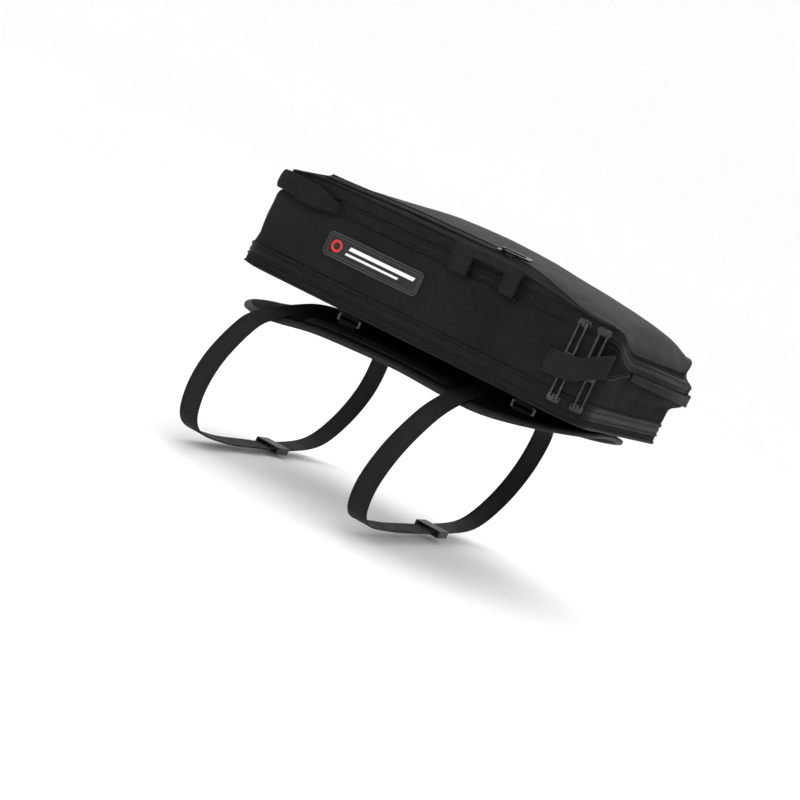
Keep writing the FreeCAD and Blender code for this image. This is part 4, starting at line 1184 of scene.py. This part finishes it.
def build_belts():
    """The two taut belts round the seat."""
    for name, node, side, x, lean, drop in (
            ("belt_front", "front_belt", BELT_ROUTE, 74, 0.23, 0),
            ("belt_rear", "rear_belt", REAR_BELT_ROUTE, -137, 0.2, 3.2)):
        route = [(0, y, z) for y, z in side] + [(0, -y, z) for y, z in side[-2:0:-1]]
        path = smooth_path(route, 8, closed=True)
        tangent = unit(np.roll(path, -1, 0) - np.roll(path, 1, 0))
        path += joined(0, -tangent[:, 2], tangent[:, 1]) * 0.7
        path[:, 0] = x + lean * (path[:, 2] + drop)
        shape = Shape()
        ribbon(shape, path, FORWARD, 22, 1.5, closed=True)
        sew(shape, name, "webbing", "base", node, "webbing")


def build_tabs():
    """Folded webbing tabs that hold the hold-down rings."""
    shape = Shape()
    turn = np.linspace(0, math.pi, 9)
    for x, mat_top in ((-78, -9.4), (122, -7.7)):
        for y in (-100, 100):
            for bar, end, way in ((1.5, BAG_FOOT - 0.1, -1), (-4.5, mat_top + 0.6, 1)):
                bend = [(x, y - 1.75 * math.cos(a), bar + way * 1.75 * math.sin(a)) for a in turn]
                path = [(x, y - 1.75, end), *bend, (x, y + 1.75, end)]
                ribbon(shape, path, FORWARD, 19, 0.9)
    sew(shape, "ring_tabs", "webbing", "base", "hold_down_tabs", "webbing")


def finish_hardware():
    """Rounds the edges of the moulded and metal CAD parts and gives every CAD part its material."""
    radius = {"hold_down_rings": 0.8, "belt_buckles": 0.8, "base_board": 0.3, "lid_board": 0.5}
    slots = {row["node"]: row["material_slot"] for row in frame["record"]["subparts"]}
    for name, node in frame["nodes"].items():
        if node.hide_render:
            continue
        node.data.materials.clear()
        node.data.materials.append(MATERIALS[slots[name]])
        given(node.modifiers.new("weld", "WELD"), merge_threshold=0.02 * MM)
        if "puller" in name:
            given(node.modifiers.new("fuller_wire", "DISPLACE"), strength=0.35 * MM, mid_level=0.0)
        given(node.modifiers.new("rounding", "BEVEL"), width=radius.get(name, 0.3) * MM, segments=3,
              limit_method="ANGLE", angle_limit=math.radians(40), harden_normals=False)


# ---- studio ----


def build_studio():
    """A white bowl under and round the bag, soft lights over it."""
    turn = circle(96)
    profile = ((0.0002, 0), (1.5, 0), (3.2, 0), (4.0, 0.06), (4.7, 0.3), (5.2, 0.8), (5.5, 1.6),
               (5.6, 3.0), (5.6, 5.0))
    rows = [joined(reach * np.cos(turn), reach * np.sin(turn), height - FLOOR_DROP) / MM
            for reach, height in profile]
    floor = Shape().grid(np.array(rows), around=True).make("studio_bowl", ["studio"], closed=False)
    floor.data.flip_normals()
    for name, place, aim, size, power in (
            ("top_light", (0.1, 0.5, 1.9), (0, 0, 0), 2.0, 20),
            ("near_light", (-0.9, -2.2, 1.1), (0, 0, 0.05), 1.4, 20)):
        data = bpy.data.lights.new(name, "AREA")
        data.shape, data.size, data.energy = "SQUARE", size, power
        lamp = bpy.data.objects.new(name, data)
        lamp.location = place
        lamp.rotation_euler = (Vector(aim) - Vector(place)).to_track_quat("-Z", "Y").to_euler()
        bpy.context.scene.collection.objects.link(lamp)
    bpy.context.scene.world = world = bpy.data.worlds.new("studio_world")
    world.use_nodes = True
    sky = world.node_tree.nodes["Background"].inputs
    sky["Color"].default_value, sky["Strength"].default_value = (1, 1, 1, 1), 1.12
    bpy.context.scene.view_settings.view_transform = "Standard"


def build_camera():
    """The camera, from its azimuth, elevation, roll and distance from its aim."""
    azimuth, elevation, roll = (math.radians(angle) for angle in (22.416, 5.583, 24.889))
    aim, distance = Vector((-0.02807, -0.01822, -0.05672)), 1.857
    flat = math.cos(elevation)
    back = Vector((math.sin(azimuth) * flat, -math.cos(azimuth) * flat, math.sin(elevation)))
    right = Vector((math.cos(azimuth), math.sin(azimuth), 0))
    up = back.cross(right)
    across = math.cos(roll) * right + math.sin(roll) * up
    upward = -math.sin(roll) * right + math.cos(roll) * up
    data = bpy.data.cameras.new("camera")
    data.lens, data.sensor_width = 82.75, 36
    camera = bpy.data.objects.new("camera", data)
    turn = Matrix((across, upward, back)).transposed().to_4x4()
    camera.matrix_world = Matrix.Translation(aim + back * distance) @ turn
    bpy.context.scene.collection.objects.link(camera)
    bpy.context.scene.camera = camera


for build in (build_camera, build_studio, build_wall, build_lower_wall, build_pipings, build_zips,
              build_hinge, build_floor, build_lid_top, build_lid_band, build_pocket, build_badge,
              build_side_handle, build_front_handle, build_keeper, build_corner_patch, build_mat,
              build_belts, build_tabs, finish_hardware):
    build()
